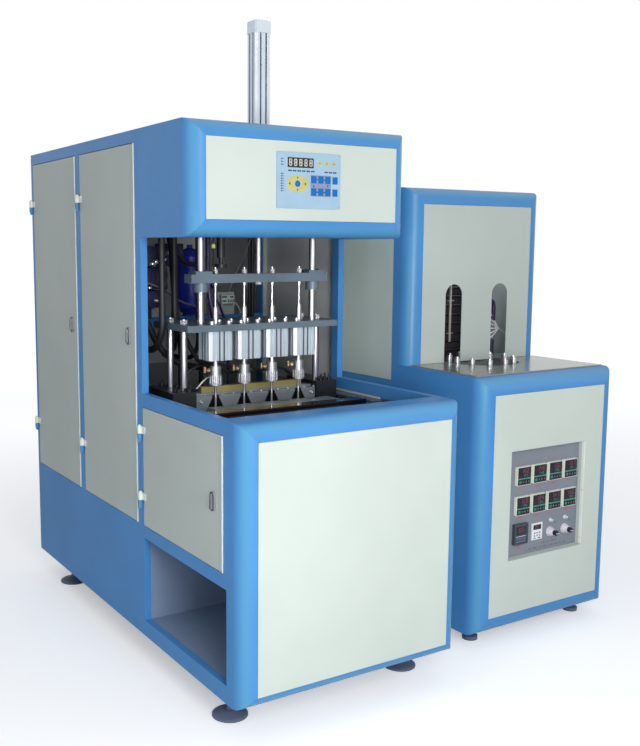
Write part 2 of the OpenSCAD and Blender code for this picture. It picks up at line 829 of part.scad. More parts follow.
module stretch_beam() {
    piece("#66727e")
        translate([axis_x, axis_y, beam_z])
            difference() {
                union() {
                    translate([-beam_w / 2, -beam_d / 2, 0]) cube([beam_w, beam_d, beam_h]);
                    for (s = [-1, 1])
                        translate([s * guide_x, 0, 0]) {
                            translate([0, 0, -housing_h]) cylinder(h = housing_h + eps, r = housing_r);
                            translate([-32, -beam_d / 2, beam_h - eps]) cube([64, beam_d, 10]);
                        }
                }
                for (s = [-1, 1])
                    translate([s * guide_x, 0, -housing_h - 1])
                        cylinder(h = housing_h + beam_h + 20, r = rod_r + slide_play);
                for (i = [0:axes - 1])
                    translate([axis_at(i) - axis_x, 0, -1])
                        cylinder(h = beam_h + 2, r = stretch_top_r + slide_play);
                translate([0, 0, 6]) cylinder(h = beam_h, r = 6 + slide_play);
            }
}

module stretch_rods() {
    thick = shaft_top + 10 - tip_z - stretch_r;
    piece("#d9dde2")
        for (i = [0:axes - 1])
            translate([axis_at(i), axis_y, tip_z + stretch_r]) {
                sphere(stretch_r);
                cylinder(h = thick, r = stretch_r);
                cylinder(h = stretch_l - stretch_r + beam_h + 24, r = stretch_top_r);
            }
}

module rod_nuts() {
    piece("#c9ccd0")
        for (i = [0:axes - 1])
            translate([axis_at(i), axis_y, beam_z]) {
                for (z = [-10, beam_h])
                    translate([0, 0, z])
                        difference() {
                            cylinder(h = z < 0 ? 10 : 16, r = z < 0 ? 8 : 9.5, $fn = z < 0 ? 64 : 6);
                            translate([0, 0, -1]) cylinder(h = 20, r = stretch_top_r + slide_play);
                        }
            }
}

// Bottle cavity below height z, as a turned shape.
module cavity(z) {
    n = bottle_neck_r;
    b = bottle_r;
    neck = 8;
    translate([0, 0, z - neck])
        rotate_extrude()
            polygon([[0, neck + 60], [n, neck + 60], [n, 0], [n + 3, -4], [b - 6, -44], [b - 2, -52],
                [b, -62], [b, -bottle_h * 0.5], [b - 4, -bottle_h * 0.54], [b - 4, -bottle_h * 0.62],
                [b, -bottle_h * 0.66], [b, -bottle_h + 10], [b - 8, -bottle_h], [0, -bottle_h]]);
}

module rear_mould() {
    piece("#7b868f")
        difference() {
            union() {
                bar([axis_x - mould_w / 2, axis_y, mould_top - mould_h], [mould_w, mould_d, mould_h]);
                bar([axis_x - mould_w / 2, axis_y + mould_d - 45, mould_top - 1],
                    [mould_w, 45, 8]);
            }
            for (i = [0:axes - 1])
                translate([axis_at(i), axis_y, 0]) cavity(mould_top);
            // sockets of the screws along the top edge
            for (i = [0:axes], s = [-1, 1])
                translate([axis_x + (i - axes / 2) * pitch + s * 16, axis_y + 12, mould_top - 5])
                    cylinder(h = 7, r = 4);
        }
}

module front_mould() {
    y = axis_y - mould_gap;
    piece("#7b868f")
        difference() {
            bar([axis_x - mould_w / 2, y - mould_d, mould_top - mould_h],
                [mould_w, mould_d, mould_h - step_drop]);
            for (i = [0:axes - 1])
                translate([axis_at(i), y, 0]) cavity(mould_top);
        }
}

module front_platen() {
    w = 2 * bed_in + 2 * bed_block - 16;
    y = axis_y - mould_gap - mould_d - platen_t;
    rod_y = bed_y - clamp_back;
    piece("#66727e") {
        difference() {
            bar([axis_x - w / 2, y, bed_z + 6], [w, platen_t, front_top - bed_z - 6]);
            for (s = [-1, 1])
                translate([axis_x + s * tie_x, y - 1, tie_z]) rotate([-90, 0, 0])
                    cylinder(h = platen_t + 2, r = tie_r + slide_play);
            translate([axis_x, y - 1, tie_z]) rotate([-90, 0, 0])
                cylinder(h = 31, r = 14 + slide_play);
        }
    }
    // rod of the clamp cylinder, screwed into the platen
    piece("#d9dde2")
        translate([axis_x, rod_y, tie_z]) rotate([-90, 0, 0]) {
            cylinder(h = y + 30 - rod_y, r = 14);
            cylinder(h = 20, r = 49.9);
        }
}

module mould_bed() {
    wall_y = axis_y + mould_d;
    piece("#24262b")
        difference() {
            union() {
                for (s = [-1, 1])
                    bar([axis_x + (s > 0 ? bed_in : -bed_in - bed_block), bed_y, bed_z],
                        [bed_block, bed_d, bed_top - bed_z]);
                bar([axis_x - bed_in - 1, wall_y, bed_z], [2 * bed_in + 2, 58, mould_top + 7 - bed_z]);
            }
            for (s = [-1, 1])
                translate([axis_x + s * tie_x, bed_y - 1, tie_z]) rotate([-90, 0, 0])
                    cylinder(h = 81, r = tie_r + slide_play);
        }
}

module bed_plate() {
    front_y = rim_d - 15;
    w = 2 * bed_in + 2 * bed_block - 16;
    piece("#24262b")
        difference() {
            union() {
                bar([post_t + 2, front_y, bed_z - bed_t],
                    [cab_w - 2 * post_t - 4, bed_y + bed_d - front_y, bed_t]);
                bar([axis_x - w / 2, front_y, bed_z - 1], [w, 25, front_top - 14 - bed_z]);
            }
            for (s = [-1, 1])
                translate([axis_x + s * tie_x, front_y - 1, tie_z]) rotate([-90, 0, 0])
                    cylinder(h = 27, r = tie_r + slide_play);
        }
}

module tie_bars() {
    front_y = rim_d - 15;
    piece("#d9dde2")
        for (s = [-1, 1])
            translate([axis_x + s * tie_x, front_y, tie_z]) rotate([-90, 0, 0])
                cylinder(h = bed_y + 79 - front_y, r = tie_r);
}

// Clamp cylinder behind the bed's front plate. Its rod moves the platen.
module clamp_cylinder() {
    y0 = rim_d + 10;
    rod_y = bed_y - clamp_back;
    l = rod_y + 20 + mould_gap + 22 - y0;
    piece("#c4ccd4")
        translate([axis_x, y0, tie_z]) rotate([-90, 0, 0])
            difference() {
                linear_extrude(l) profile(114, [-26, 26], 8, 5);
                translate([0, 0, 20]) cylinder(h = l - 40, r = 50);
                translate([0, 0, l - 21]) cylinder(h = 30, r = 14 + slide_play);
            }
}

module stop_bar() {
    l = 430;
    piece("#a08c4a")
        difference() {
            bar([axis_x - l / 2, axis_y + 37, mould_top + 7], [l, 22, 21]);
            for (x = [-0.25, 0.25])
                translate([axis_x + x * l, axis_y + 48, mould_top + 22]) cylinder(h = 10, r = 4.5);
        }
}

module air_tank() {
    r = tank_r;
    piece("#1d2a66")
        translate([axis_x + tank_x, mid_post_y + post_w / 2, cross_rail_z + cross_rail_h]) {
            rotate_extrude()
                polygon([[0, 0], [r * 0.6, 0], [r * 0.6, 10], [r * 0.8, 16], [r, 36], [r, 250],
                    [r * 0.8, 272], [r * 0.35, 284], [12, 286], [12, 300], [0, 300]]);
        }
}

module control_box() {
    y = mid_post_y + 4;
    z = cross_rail_z + cross_rail_h + weld;
    piece("#b7bcb8") {
        translate([axis_x + box_right, y, z])
            difference() {
                cube([84, post_w - 8, 96]);
                translate([8, -1, 34]) cube([68, 3, 52]);
            }
        translate([axis_x - box_left, y, z]) {
            cube([62, post_w - 8, 70]);
            translate([31, 0, 44]) rotate([90, 0, 0]) cylinder(h = 16, r = 12);
        }
    }
}

module air_filter() {
    y = tall_back + post_w / 2;
    piece("#1c1d20")
        translate([axis_x - filter_left, y, filter_z]) {
            cylinder(h = cab_h - rail_h - filter_z, r = 7);
            translate([0, 0, 37]) cylinder(h = 118, r = 15);
            cylinder(h = 14, r = 23);
        }
}

// A hose that drops from height top to z, bends and runs on towards the back.
module hose(x, y, z, top, r, bend, turn, run) {
    translate([x, y, z]) rotate([0, 0, turn]) translate([bend, 0, 0]) rotate([-90, 0, 0]) {
        translate([-bend, 0, 0]) rotate([90, 0, 0]) cylinder(h = top - z, r = r);
        rotate([0, 0, 90]) rotate_extrude(angle = 90) translate([bend, 0]) circle(r);
        translate([0, bend, 0]) rotate([0, 90, 0]) cylinder(h = run, r = r);
    }
}

module air_hoses() {
    roof = cab_h - sheet_t;
    back = tall_back + post_w;
    piece("#17181a") {
        hose(90, tall_back + post_w / 2, 1240, cab_h - rail_h, 12, 110, 90, 160);
        hose(axis_x - 210, back + 150, 1200, roof, 12, 90, 70, 130);
        hose(axis_x - 100, back + 170, 1150, roof, 9, 80, 100, 150);
    }
}

module oven_frame() {
    lower_h = oven_table - oven_floor;
    panel_z = oven_table - 71;
    behind = edge_r + weld;
    post_y = tower_back + behind;
    base_z = oven_table - oven_sheet + weld;
    inner = oven_w - 2 * post_t - 2 * weld;
    piece(blue) translate([0, oy, 0]) {
        translate([ox, 0, oven_floor]) surround(oven_w, lower_h - oven_sheet, oven_edge, oven_edge);
        translate([ox, tower_back, base_z]) surround(oven_w, tower_h - base_z, oven_edge, 0);
        both_oven_sides() {
            // blue side walls below the table
            translate([0, behind, oven_floor])
                side_tray(oven_d - behind - post_t - weld, panel_z - oven_floor - weld, post_t);
            translate([0, behind, panel_z])
                side_tray(post_y + post_w - behind, oven_table - oven_sheet - panel_z, post_t);
            bar([0, post_y, base_z], [post_t, post_w, tower_h - base_z]);
            bar([0, post_y + post_w + weld, tower_h - rail_h],
                [post_t, oven_d - post_y - post_w - post_t - 2 * weld, rail_h]);
            bar([0, oven_d - post_t, oven_floor], [post_t, post_t, tower_h - oven_floor]);
        }
        for (z = [oven_floor, tower_h - rail_h])
            bar([ox + post_t + weld, oven_d - post_t, z], [inner, post_t, rail_h]);
        // cross beam that carries the disc's drive, and the ones over the feet
        bar([ox + sheet_t + weld, disc_y - oy - 60, oven_table - 250],
            [oven_w - 2 * sheet_t - 2 * weld, 120, 30]);
        for (y = oven_feet_y) bar([ox + post_t + weld, y - 20, oven_floor], [inner, 40, 40]);
    }
}

module oven_front_panel() {
    w = oven_w - 2 * oven_edge - 2 * panel_gap;
    z0 = oven_floor + oven_edge + panel_gap;
    h = oven_table - oven_sheet - oven_edge - panel_gap - z0;
    x0 = ox + oven_edge + panel_gap;
    wx = ox + win_x;
    piece(cream)
        difference() {
            union() {
                bar([x0, oy, z0], [w, sheet_t, h]);
                bar([wx - sheet_t, oy, win_z - sheet_t],
                    [win_w + 2 * sheet_t, win_d, win_h + 2 * sheet_t]);
            }
            bar([wx, oy - 1, win_z], [win_w, win_d + 2, win_h]);
        }
}

module oven_panels() {
    panel_z = oven_table - 71;
    y0 = tower_back + edge_r + 2 * weld + post_w;
    l = oven_d - y0 - post_t;
    piece(cream) translate([0, oy, 0]) {
        both_oven_sides()
            translate([0, y0 + panel_gap, panel_z + panel_gap])
                side_tray(l - 2 * panel_gap, tower_h - rail_h - panel_z - 2 * panel_gap);
        translate([ox + oven_w - post_t - panel_gap, oven_d, oven_floor + rail_h + panel_gap])
            rotate([0, 0, 180])
                tray(oven_w - 2 * post_t - 2 * panel_gap,
                    tower_h - oven_floor - 2 * rail_h - 2 * panel_gap);
        bar([ox + post_t + panel_gap, tower_back + edge_r + panel_gap, tower_h - sheet_t],
            [oven_w - 2 * post_t - 2 * panel_gap, oven_d - tower_back - edge_r - post_t - 2 * panel_gap,
            sheet_t]);
    }
}

// Outline of one arched slot, standing on the line y = 0.
module arch_outline() {
    translate([-arch_w / 2, -10]) square([arch_w, arch_h - arch_w / 2 + 10]);
    translate([0, arch_h - arch_w / 2]) circle(arch_w / 2);
}

module tower_front_panel() {
    w = oven_w - 2 * oven_edge - 2 * panel_gap;
    h = tower_h - oven_edge - panel_gap - oven_table;
    piece(cream)
        translate([disc_x, ty + 3, oven_table]) rotate([90, 0, 0])
            linear_extrude(3)
                difference() {
                    translate([-w / 2, 0.5]) square([w, h - 0.5]);
                    for (s = [-1, 1]) translate([s * arch_x, 0]) arch_outline();
                }
}

module oven_table_plate() {
    front_y = oy + edge_r - 4;
    in = oven_edge + panel_gap;
    piece("#b4bab2")
        translate([0, 0, oven_table - oven_sheet])
            linear_extrude(oven_sheet - 0.1)
                difference() {
                    union() {
                        translate([ox + 20, front_y]) square([oven_w - 40, ty - front_y]);
                        translate([ox + in, ty - 1]) square([oven_w - 2 * in, 211]);
                    }
                    translate([disc_x, disc_y]) circle(disc_r + disc_gap);
                }
}

module spindle_disc() {
    piece("#1f2125")
        translate([disc_x, disc_y, 0]) {
            translate([0, 0, disc_z - 8]) cylinder(h = 8, r = disc_r);
            translate([0, 0, disc_z - 22]) cylinder(h = 14 + eps, r = 45);
            translate([0, 0, disc_z - 120]) cylinder(h = 100, r = 20);
        }
}

module spindle_set() {
    piece("#d9dde2")
        for (i = [0:spindles - 1])
            translate([disc_x, disc_y, disc_z]) rotate([0, 0, i * 360 / spindles])
                translate([spindle_ring, 0, 0])
                    rotate_extrude()
                        polygon([[0, 0], [spindle_r, 0], [spindle_r, spindle_h * 0.3],
                            [spindle_r - 2, spindle_h * 0.38], [spindle_r - 2, spindle_h - 3],
                            [spindle_r - 4, spindle_h], [spindle_pin_r, spindle_h],
                            [spindle_pin_r, spindle_h + spindle_pin_h - 4],
                            [spindle_pin_r - 3, spindle_h + spindle_pin_h],
                            [0, spindle_h + spindle_pin_h]]);
}

// Gear motor under the disc.
module disc_drive() {
    z = oven_table - 220;
    piece("#4a5058")
        translate([disc_x, disc_y, z])
            difference() {
                union() {
                    translate([-60, -55, 0]) cube([120, 110, 110]);
                    cylinder(h = disc_z - 30 - z, r = 34);
                    translate([60 - eps, 0, 52]) rotate([0, 90, 0]) cylinder(h = 150, r = 45);
                }
                translate([0, 0, disc_z - 122 - z]) cylinder(h = 140, r = 20 + slide_play);
            }
}

// Heating lamps in level rows behind the rear of the disc, between two holders.
module lamp_bank() {
    rows = 8;
    y = ty + 145;
    w = 2 * spindle_ring + 40;
    piece("#d8d3c4") {
        for (s = [-1, 1])
            bar([disc_x + s * w / 2 - 10, y - 10, oven_table], [20, 24, arch_h + 20]);
        for (i = [0:rows - 1])
            translate([disc_x - w / 2 + 10 - eps, y, oven_table + 30 + i * 38]) rotate([0, 90, 0])
                cylinder(h = w - 20 + 2 * eps, r = 5.5);
        bar([disc_x - w / 2 - 10, y + 13, oven_table], [w + 20, 2, arch_h + 20]);
    }
}

module instrument_plate() {
    piece("#7e868c")
        bar([ox + win_x - 12, plate_face_y, win_z - 12], [win_w + 24, 3, win_h + 24]);
}

// Eight temperature controllers in two rows, and the power controller under them.
module controllers() {
    w = meter_w;
    piece("#cfd0c2") {
        for (i = [0:3], j = [0:1])
            translate([meter_x + i * meter_pitch, plate_face_y, meter_z - w - j * row_pitch])
                rotate([90, 0, 0]) meter(w, w);
        translate([meter_x - 5, plate_face_y, meter_z - w - row_pitch - 115]) rotate([90, 0, 0])
            meter(w, w + 8);
    }
}
// Panel instrument: a bezel with chamfered front edge and a sunk face.
module meter(w, h) {
    difference() {
        linear_extrude(meter_proud) square([w, h]);
        translate([4, 4, meter_proud - 2]) cube([w - 8, h - 8, 3]);
    }
}

module drive_display() {
    piece("#e4e6e4")
        translate([meter_x + 98, plate_face_y, meter_z - 302]) rotate([90, 0, 0])
            difference() {
                linear_extrude(6) square([56, 66]);
                translate([6, 40, 4.5]) cube([44, 20, 3]);
                for (i = [0:2], j = [0:1])
                    translate([14 + i * 14, 16 + j * 11, 5]) cylinder(h = 3, r = 3);
            }
}

// Chrome bezels of the selectors and threaded bushes of the toggles.
module switch_bezels() {
    piece("#d9dde2")
        for (i = [0, 1])
            translate([switch_x + i * switch_pitch, plate_face_y, 0]) {
                translate([0, 0, selector_z]) rotate([90, 0, 0])
                    difference() {
                        cylinder(h = bezel_h, r1 = knob_r + 9, r2 = knob_r + 1.5);
                        translate([0, 0, 1]) cylinder(h = bezel_h, r = 5 + slide_play);
                    }
                translate([0, 0, switch_z]) rotate([90, 0, 0])
                    difference() {
                        union() {
                            cylinder(h = bush_l, r = 5.5);
                            cylinder(h = 3, r = 8.5, $fn = 6);
                        }
                        translate([0, 0, 2]) cylinder(h = 20, r = 4.3);
                    }
            }
}

module selector(i) {
    piece("#2a2440")
        translate([switch_x + i * switch_pitch, plate_face_y, selector_z]) rotate([90, 0, 0]) {
            translate([0, 0, 1.2]) cylinder(h = bezel_h, r = 5);
            translate([0, 0, bezel_h + weld]) cylinder(h = knob_l - bezel_h - weld, r = knob_r);
            translate([-knob_r + 1, -3.5, knob_l - 0.5]) cube([2 * knob_r - 2, 7, 6]);
        }
}
module selector_left() selector(0);
module selector_right() selector(1);

module toggle(i) {
    piece("#c9ccd0")
        translate([switch_x + i * switch_pitch, plate_face_y - bush_l + 5, switch_z])
            rotate([102, 0, 0]) {
            sphere(3.6);
            cylinder(h = 16, r1 = 1.9, r2 = 2.9);
            translate([0, 0, 16]) sphere(2.9);
        }
}
module toggle_left() toggle(0);
module toggle_right() toggle(1);

cabinet_frame();
lower_front_panel();
hood_front_panel();
hood_shell();
cabinet_panels();
bay_liner();
hinge_pins();
levelling_feet();
table_plates();
keypad();
top_plate();
stretch_cylinder();
guide_rods();
blow_plate();
plate_columns();
plate_screws();
blow_cylinders();
mould_bed();
bed_plate();
stop_bar();
rear_mould();
tie_bars();
clamp_cylinder();
air_tank();
control_box();
air_filter();
air_hoses();
door_rear();
door_middle();
door_low();
latch_rear();
latch_middle();
latch_low();
stretch_beam();
stretch_rods();
rod_nuts();
piston_rod();
blow_head_1();
blow_head_2();
blow_head_3();
blow_head_4();
front_mould();
front_platen();
oven_frame();
oven_front_panel();
oven_panels();
tower_front_panel();
oven_table_plate();
spindle_disc();
spindle_set();
disc_drive();
lamp_bank();
instrument_plate();
controllers();
drive_display();
switch_bezels();
selector_left();
selector_right();
toggle_left();
toggle_right();
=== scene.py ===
# %% [markdown]
# # A bottle blowing machine in two painted cabinets
#
# The machine heats small plastic tubes, the preforms, in the oven on the right, and blows them
# into bottles in the moulds under the hood on the left. Its construction is already there as a
# fixed frame of solid pieces. This lesson gives each of them the surface that it has on the real
# machine, and adds what is too fine for the frame: keys, digits, screws, wires and fittings.
#
# We begin by loading the frame, and keep its box: nothing that we add may reach outside it.

# %% Load the frame
import math
import random

import bmesh
import bpy
from mathutils import Matrix, Vector


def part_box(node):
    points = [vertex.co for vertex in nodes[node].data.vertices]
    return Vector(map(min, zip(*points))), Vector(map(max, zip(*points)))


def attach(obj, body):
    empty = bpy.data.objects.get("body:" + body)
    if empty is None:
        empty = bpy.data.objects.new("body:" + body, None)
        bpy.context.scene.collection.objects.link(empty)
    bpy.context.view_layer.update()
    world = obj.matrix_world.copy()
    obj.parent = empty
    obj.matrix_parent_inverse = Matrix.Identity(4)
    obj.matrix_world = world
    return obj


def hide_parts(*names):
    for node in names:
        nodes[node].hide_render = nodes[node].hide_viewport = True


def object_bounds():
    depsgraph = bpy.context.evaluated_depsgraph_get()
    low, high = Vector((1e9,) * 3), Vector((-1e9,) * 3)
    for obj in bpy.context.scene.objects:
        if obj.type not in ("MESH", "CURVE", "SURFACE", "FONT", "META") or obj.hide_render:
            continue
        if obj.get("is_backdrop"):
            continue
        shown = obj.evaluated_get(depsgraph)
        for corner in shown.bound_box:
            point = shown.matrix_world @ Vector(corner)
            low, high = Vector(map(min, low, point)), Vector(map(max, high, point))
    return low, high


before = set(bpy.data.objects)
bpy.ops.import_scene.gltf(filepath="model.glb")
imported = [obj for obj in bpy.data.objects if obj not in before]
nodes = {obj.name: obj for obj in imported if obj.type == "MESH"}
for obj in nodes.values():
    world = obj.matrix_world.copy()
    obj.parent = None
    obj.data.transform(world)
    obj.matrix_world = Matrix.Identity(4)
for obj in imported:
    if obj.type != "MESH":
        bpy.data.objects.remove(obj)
frame_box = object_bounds()
MM = 0.001
frame_size = [round(x, 3) for x in frame_box[1] - frame_box[0]]
print("the frame has", len(nodes), "pieces and is", frame_size)

# %% [markdown]
# ## The camera
#
# The picture was taken from the left front, a little above the work table, by a standing person.
# A camera could be placed by eye, but the straight edges of the cabinets give it exactly: their
# vanishing points fix its angles and its lens, and the known height of the cabinet its distance.
# The picture was cropped off centre, so the lens is shifted a little to both sides.

# %% Place the camera
CAMERA_PLACE = Vector((-2.237, -3.228, 1.506))
CAMERA_TURN = math.radians(31.51)
CAMERA_DIP = math.radians(7.15)
CAMERA_ROLL = math.radians(0.19)

camera_data = bpy.data.cameras.new("camera")
camera_data.lens = 45.34
camera_data.sensor_width = 36
camera_data.shift_x = 0.0756
camera_data.shift_y = -0.0122
camera = bpy.data.objects.new("camera", camera_data)
bpy.context.scene.collection.objects.link(camera)
camera.matrix_world = (
    Matrix.Translation(CAMERA_PLACE)
    @ Matrix.Rotation(-CAMERA_TURN, 4, "Z")
    @ Matrix.Rotation(math.pi / 2 - CAMERA_DIP, 4, "X")
    @ Matrix.Rotation(CAMERA_ROLL, 4, "Z")
)
bpy.context.scene.camera = camera
bpy.context.scene.view_settings.view_transform = "Standard"
print("camera at", [round(x, 3) for x in CAMERA_PLACE], "with lens", camera_data.lens)

# %% [markdown]
# ## Floor, sky and lamps
#
# The machine was cut out on white. A white world would do for the camera, but at full strength it
# would also wash out the paint, so the world is white only for the camera and for mirror images in
# metal and glass, and a soft grey for everything that it lights. The floor works the same way:
# it is pale, lifts to white before the camera, a little more with distance, and keeps the
# shadow. The main lamp is a large panel at the front and a little to the left, so the fronts are
# bright and the left side is in half shade. It stands near, so its light falls off towards the
# oven as it does in the picture. Two small lamps help the oven's left side and its inside.

# %% Helpers for shader trees
def new_material(name):
    """An empty material with its output, as (material, tree, output node)."""
    made = bpy.data.materials.new(name)
    made.use_nodes = True
    made.node_tree.nodes.clear()
    out = made.node_tree.nodes.new("ShaderNodeOutputMaterial")
    return made, made.node_tree, out


def add_node(tree, kind, **settings):
    """A node whose properties and input values are set by name."""
    made = tree.nodes.new("ShaderNode" + kind)
    for name, value in settings.items():
        if hasattr(made, name):
            setattr(made, name, value)
        else:
            made.inputs[name.replace("_", " ")].default_value = value
    return made


def wire(tree, *links):
    """Joins nodes: each link is (from node, its output, to node, its input)."""
    for source, output, target, entry in links:
        tree.links.new(source.outputs[output], target.inputs[entry])


def srgb(red, green, blue):
    """A colour as the eye reads it, 0 to 255, turned into the linear values that shaders need."""
    def linear(c):
        c = c / 255
        return c / 12.92 if c <= 0.04045 else ((c + 0.055) / 1.055) ** 2.4
    return (linear(red), linear(green), linear(blue), 1.0)


# %% Build the stage
WHITE = (1, 1, 1, 1)
SKY_LIGHT = 0.42
FLOOR_LIFT, HORIZON_LIFT = 0.40, 0.72
FLOOR_HALF = 40.0

world = bpy.data.worlds.new("studio")
bpy.context.scene.world = world
world.use_nodes = True
sky = world.node_tree
sky.nodes.clear()
sky_out = add_node(sky, "OutputWorld")
seen = add_node(sky, "Background", Color=WHITE, Strength=1.0)
lit = add_node(sky, "Background", Color=srgb(244, 247, 252), Strength=SKY_LIGHT)
rays = add_node(sky, "LightPath")
mirrored = add_node(sky, "Math", operation="MAXIMUM")
looked_at = add_node(sky, "Math", operation="MAXIMUM")
sky_mix = add_node(sky, "MixShader")
wire(sky, (rays, "Is Glossy Ray", mirrored, 0), (rays, "Is Transmission Ray", mirrored, 1),
     (rays, "Is Camera Ray", looked_at, 0), (mirrored, 0, looked_at, 1),
     (looked_at, 0, sky_mix, 0), (lit, 0, sky_mix, 1), (seen, 0, sky_mix, 2),
     (sky_mix, 0, sky_out, 0))

floor_paint, tree, out = new_material("studio_floor")
pale = add_node(tree, "BsdfDiffuse", Color=srgb(236, 238, 240))
lift = add_node(tree, "Emission", Color=WHITE)
place = add_node(tree, "TexCoord")
distance = add_node(tree, "VectorMath", operation="LENGTH")
fade = add_node(tree, "MapRange", From_Min=1.8, From_Max=7.0, To_Min=FLOOR_LIFT,
                To_Max=HORIZON_LIFT)
rays = add_node(tree, "LightPath")
lifted = add_node(tree, "AddShader")
floor_mix = add_node(tree, "MixShader")
wire(tree, (place, "Object", distance, 0), (distance, "Value", fade, "Value"),
     (fade, "Result", lift, "Strength"), (pale, 0, lifted, 0), (lift, 0, lifted, 1),
     (rays, "Is Camera Ray", floor_mix, 0), (pale, 0, floor_mix, 1), (lifted, 0, floor_mix, 2),
     (floor_mix, 0, out, 0))

floor_mesh = bpy.data.meshes.new("floor")
floor_mesh.from_pydata([(-FLOOR_HALF, -FLOOR_HALF, 0), (FLOOR_HALF, -FLOOR_HALF, 0),
                        (FLOOR_HALF, FLOOR_HALF, 0), (-FLOOR_HALF, FLOOR_HALF, 0)],
                       [], [(0, 1, 2, 3)])
floor = bpy.data.objects.new("floor", floor_mesh)
floor.location.z = -0.5 * MM
bpy.context.scene.collection.objects.link(floor)
floor.data.materials.append(floor_paint)
floor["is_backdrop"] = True


def lamp(name, place, aim, size, watts):
    """A square soft panel of light at place that looks at aim."""
    data = bpy.data.lights.new(name, "AREA")
    data.size = size
    data.energy = watts
    made = bpy.data.objects.new(name, data)
    made.location = place
    made.rotation_euler = (Vector(aim) - Vector(place)).to_track_quat("-Z", "Y").to_euler()
    bpy.context.scene.collection.objects.link(made)


lamp("main_panel", (-1.9, -4.2, 2.7), (-0.3, -0.6, 1.1), 1.6, 51)
lamp("front_low", (-1.3, -3.0, 1.1), (-0.4, -0.1, 1.5), 0.7, 23)
lamp("left_strip", (-2.9, -2.1, 1.0), (-0.7, -0.8, 0.9), 0.5, 6)
lamp("right_fill", (3.4, -3.6, 2.2), (0.5, -0.3, 0.9), 2.4, 17)
lamp("oven_left", (-0.7, -3.2, 1.5), (0.3, -0.6, 1.0), 0.8, 6)
lamp("oven_inside", (0.80, -0.29, 1.60), (0.86, -0.15, 1.15), 0.1, 0.7)
lamp("back_rim", (0.6, 4.6, 2.8), (-0.1, 0.4, 1.1), 2.4, 16)
print("stage: a floor, a world and", len(bpy.data.lights), "lamps")

# %% [markdown]
# ## Shared effects
#
# Several finishes on this machine have things in common: sheet edges that catch the light, the
# fine orange peel of baked powder paint, the straight marks of a milling cutter or a brush. Each is
# a node group of its own, built once, with the numbers that change from piece to piece as inputs.

# %% Group: softened edges
FLOAT, VECTOR = "NodeSocketFloat", "NodeSocketVector"


def new_group(name, inputs, outputs):
    """An empty shader group with named sockets, as (group, its input node, its output node)."""
    group = bpy.data.node_groups.new(name, "ShaderNodeTree")
    for socket, kind, value in inputs:
        made = group.interface.new_socket(socket, in_out="INPUT", socket_type=kind)
        made.default_value = value
    for socket, kind in outputs:
        group.interface.new_socket(socket, in_out="OUTPUT", socket_type=kind)
    print("group", name)
    return group, group.nodes.new("NodeGroupInput"), group.nodes.new("NodeGroupOutput")


edge_group, g_in, g_out = new_group(
    "softened_edges", [("Radius", FLOAT, 0.0015)], [("Normal", VECTOR), ("Edge", FLOAT)])
rounded = add_node(edge_group, "Bevel", samples=6)
here = add_node(edge_group, "NewGeometry")
turned_by = add_node(edge_group, "VectorMath", operation="DOT_PRODUCT")
edge_range = add_node(edge_group, "MapRange", From_Min=0.995, From_Max=0.80)
wire(edge_group, (g_in, "Radius", rounded, "Radius"), (rounded, "Normal", turned_by, 0),
     (here, "Normal", turned_by, 1), (turned_by, "Value", edge_range, "Value"),
     (rounded, "Normal", g_out, "Normal"), (edge_range, "Result", g_out, "Edge"))

# %% Group: powder coat
peel_group, g_in, g_out = new_group(
    "powder_coat",
    [("Grain Scale", FLOAT, 900.0), ("Cloud Scale", FLOAT, 2.2)],
    [("Height", FLOAT), ("Cloud", FLOAT), ("Dust", FLOAT)])
place = add_node(peel_group, "TexCoord")
peel = add_node(peel_group, "TexNoise", Detail=2.0, Roughness=0.5)
cloud = add_node(peel_group, "TexNoise", Detail=3.0, Roughness=0.55)
dust = add_node(peel_group, "TexNoise", Scale=60.0, Detail=6.0, Roughness=0.7)
for texture, output in ((peel, "Height"), (cloud, "Cloud"), (dust, "Dust")):
    wire(peel_group, (place, "Object", texture, "Vector"), (texture, "Fac", g_out, output))
wire(peel_group, (g_in, "Grain Scale", peel, "Scale"), (g_in, "Cloud Scale", cloud, "Scale"))

# %% Group: straight machining marks
marks_group, g_in, g_out = new_group(
    "machining_marks",
    [("Stretch", VECTOR, (3.0, 400.0, 400.0)), ("Patch Scale", FLOAT, 6.0)],
    [("Height", FLOAT), ("Streak", FLOAT), ("Patch", FLOAT)])
place = add_node(marks_group, "TexCoord")
stretched = add_node(marks_group, "VectorMath", operation="MULTIPLY")
fine = add_node(marks_group, "TexNoise", Scale=1.0, Detail=4.0, Roughness=0.6)
patch = add_node(marks_group, "TexNoise", Detail=4.0, Roughness=0.6)
wire(marks_group, (place, "Object", stretched, 0), (g_in, "Stretch", stretched, 1),
     (stretched, 0, fine, "Vector"), (place, "Object", patch, "Vector"),
     (g_in, "Patch Scale", patch, "Scale"), (fine, "Fac", g_out, "Height"),
     (fine, "Fac", g_out, "Streak"), (patch, "Fac", g_out, "Patch"))

# %% Group: bends
bend_group, g_in, g_out = new_group("bends", [("Width", FLOAT, 0.22)], [("Bend", FLOAT)])
place = add_node(bend_group, "TexCoord")
parts = add_node(bend_group, "SeparateXYZ")
wire(bend_group, (place, "Normal", parts, 0))
largest = None
for axis in "XYZ":
    size = add_node(bend_group, "Math", operation="ABSOLUTE")
    wire(bend_group, (parts, axis, size, 0))
    if largest is None:
        largest = size
        continue
    pick = add_node(bend_group, "Math", operation="MAXIMUM")
    wire(bend_group, (largest, 0, pick, 0), (size, 0, pick, 1))
    largest = pick
away = add_node(bend_group, "Math", operation="SUBTRACT", use_clamp=True)
away.inputs[0].default_value = 1.0
share = add_node(bend_group, "Math", operation="DIVIDE", use_clamp=True)
wire(bend_group, (largest, 0, away, 1), (away, 0, share, 0), (g_in, "Width", share, 1),
     (share, 0, g_out, "Bend"))

# %% Group: painted reflection bands round a turned bar
REFLECTION_BRIGHT_PHASE = 3 * math.radians(118)

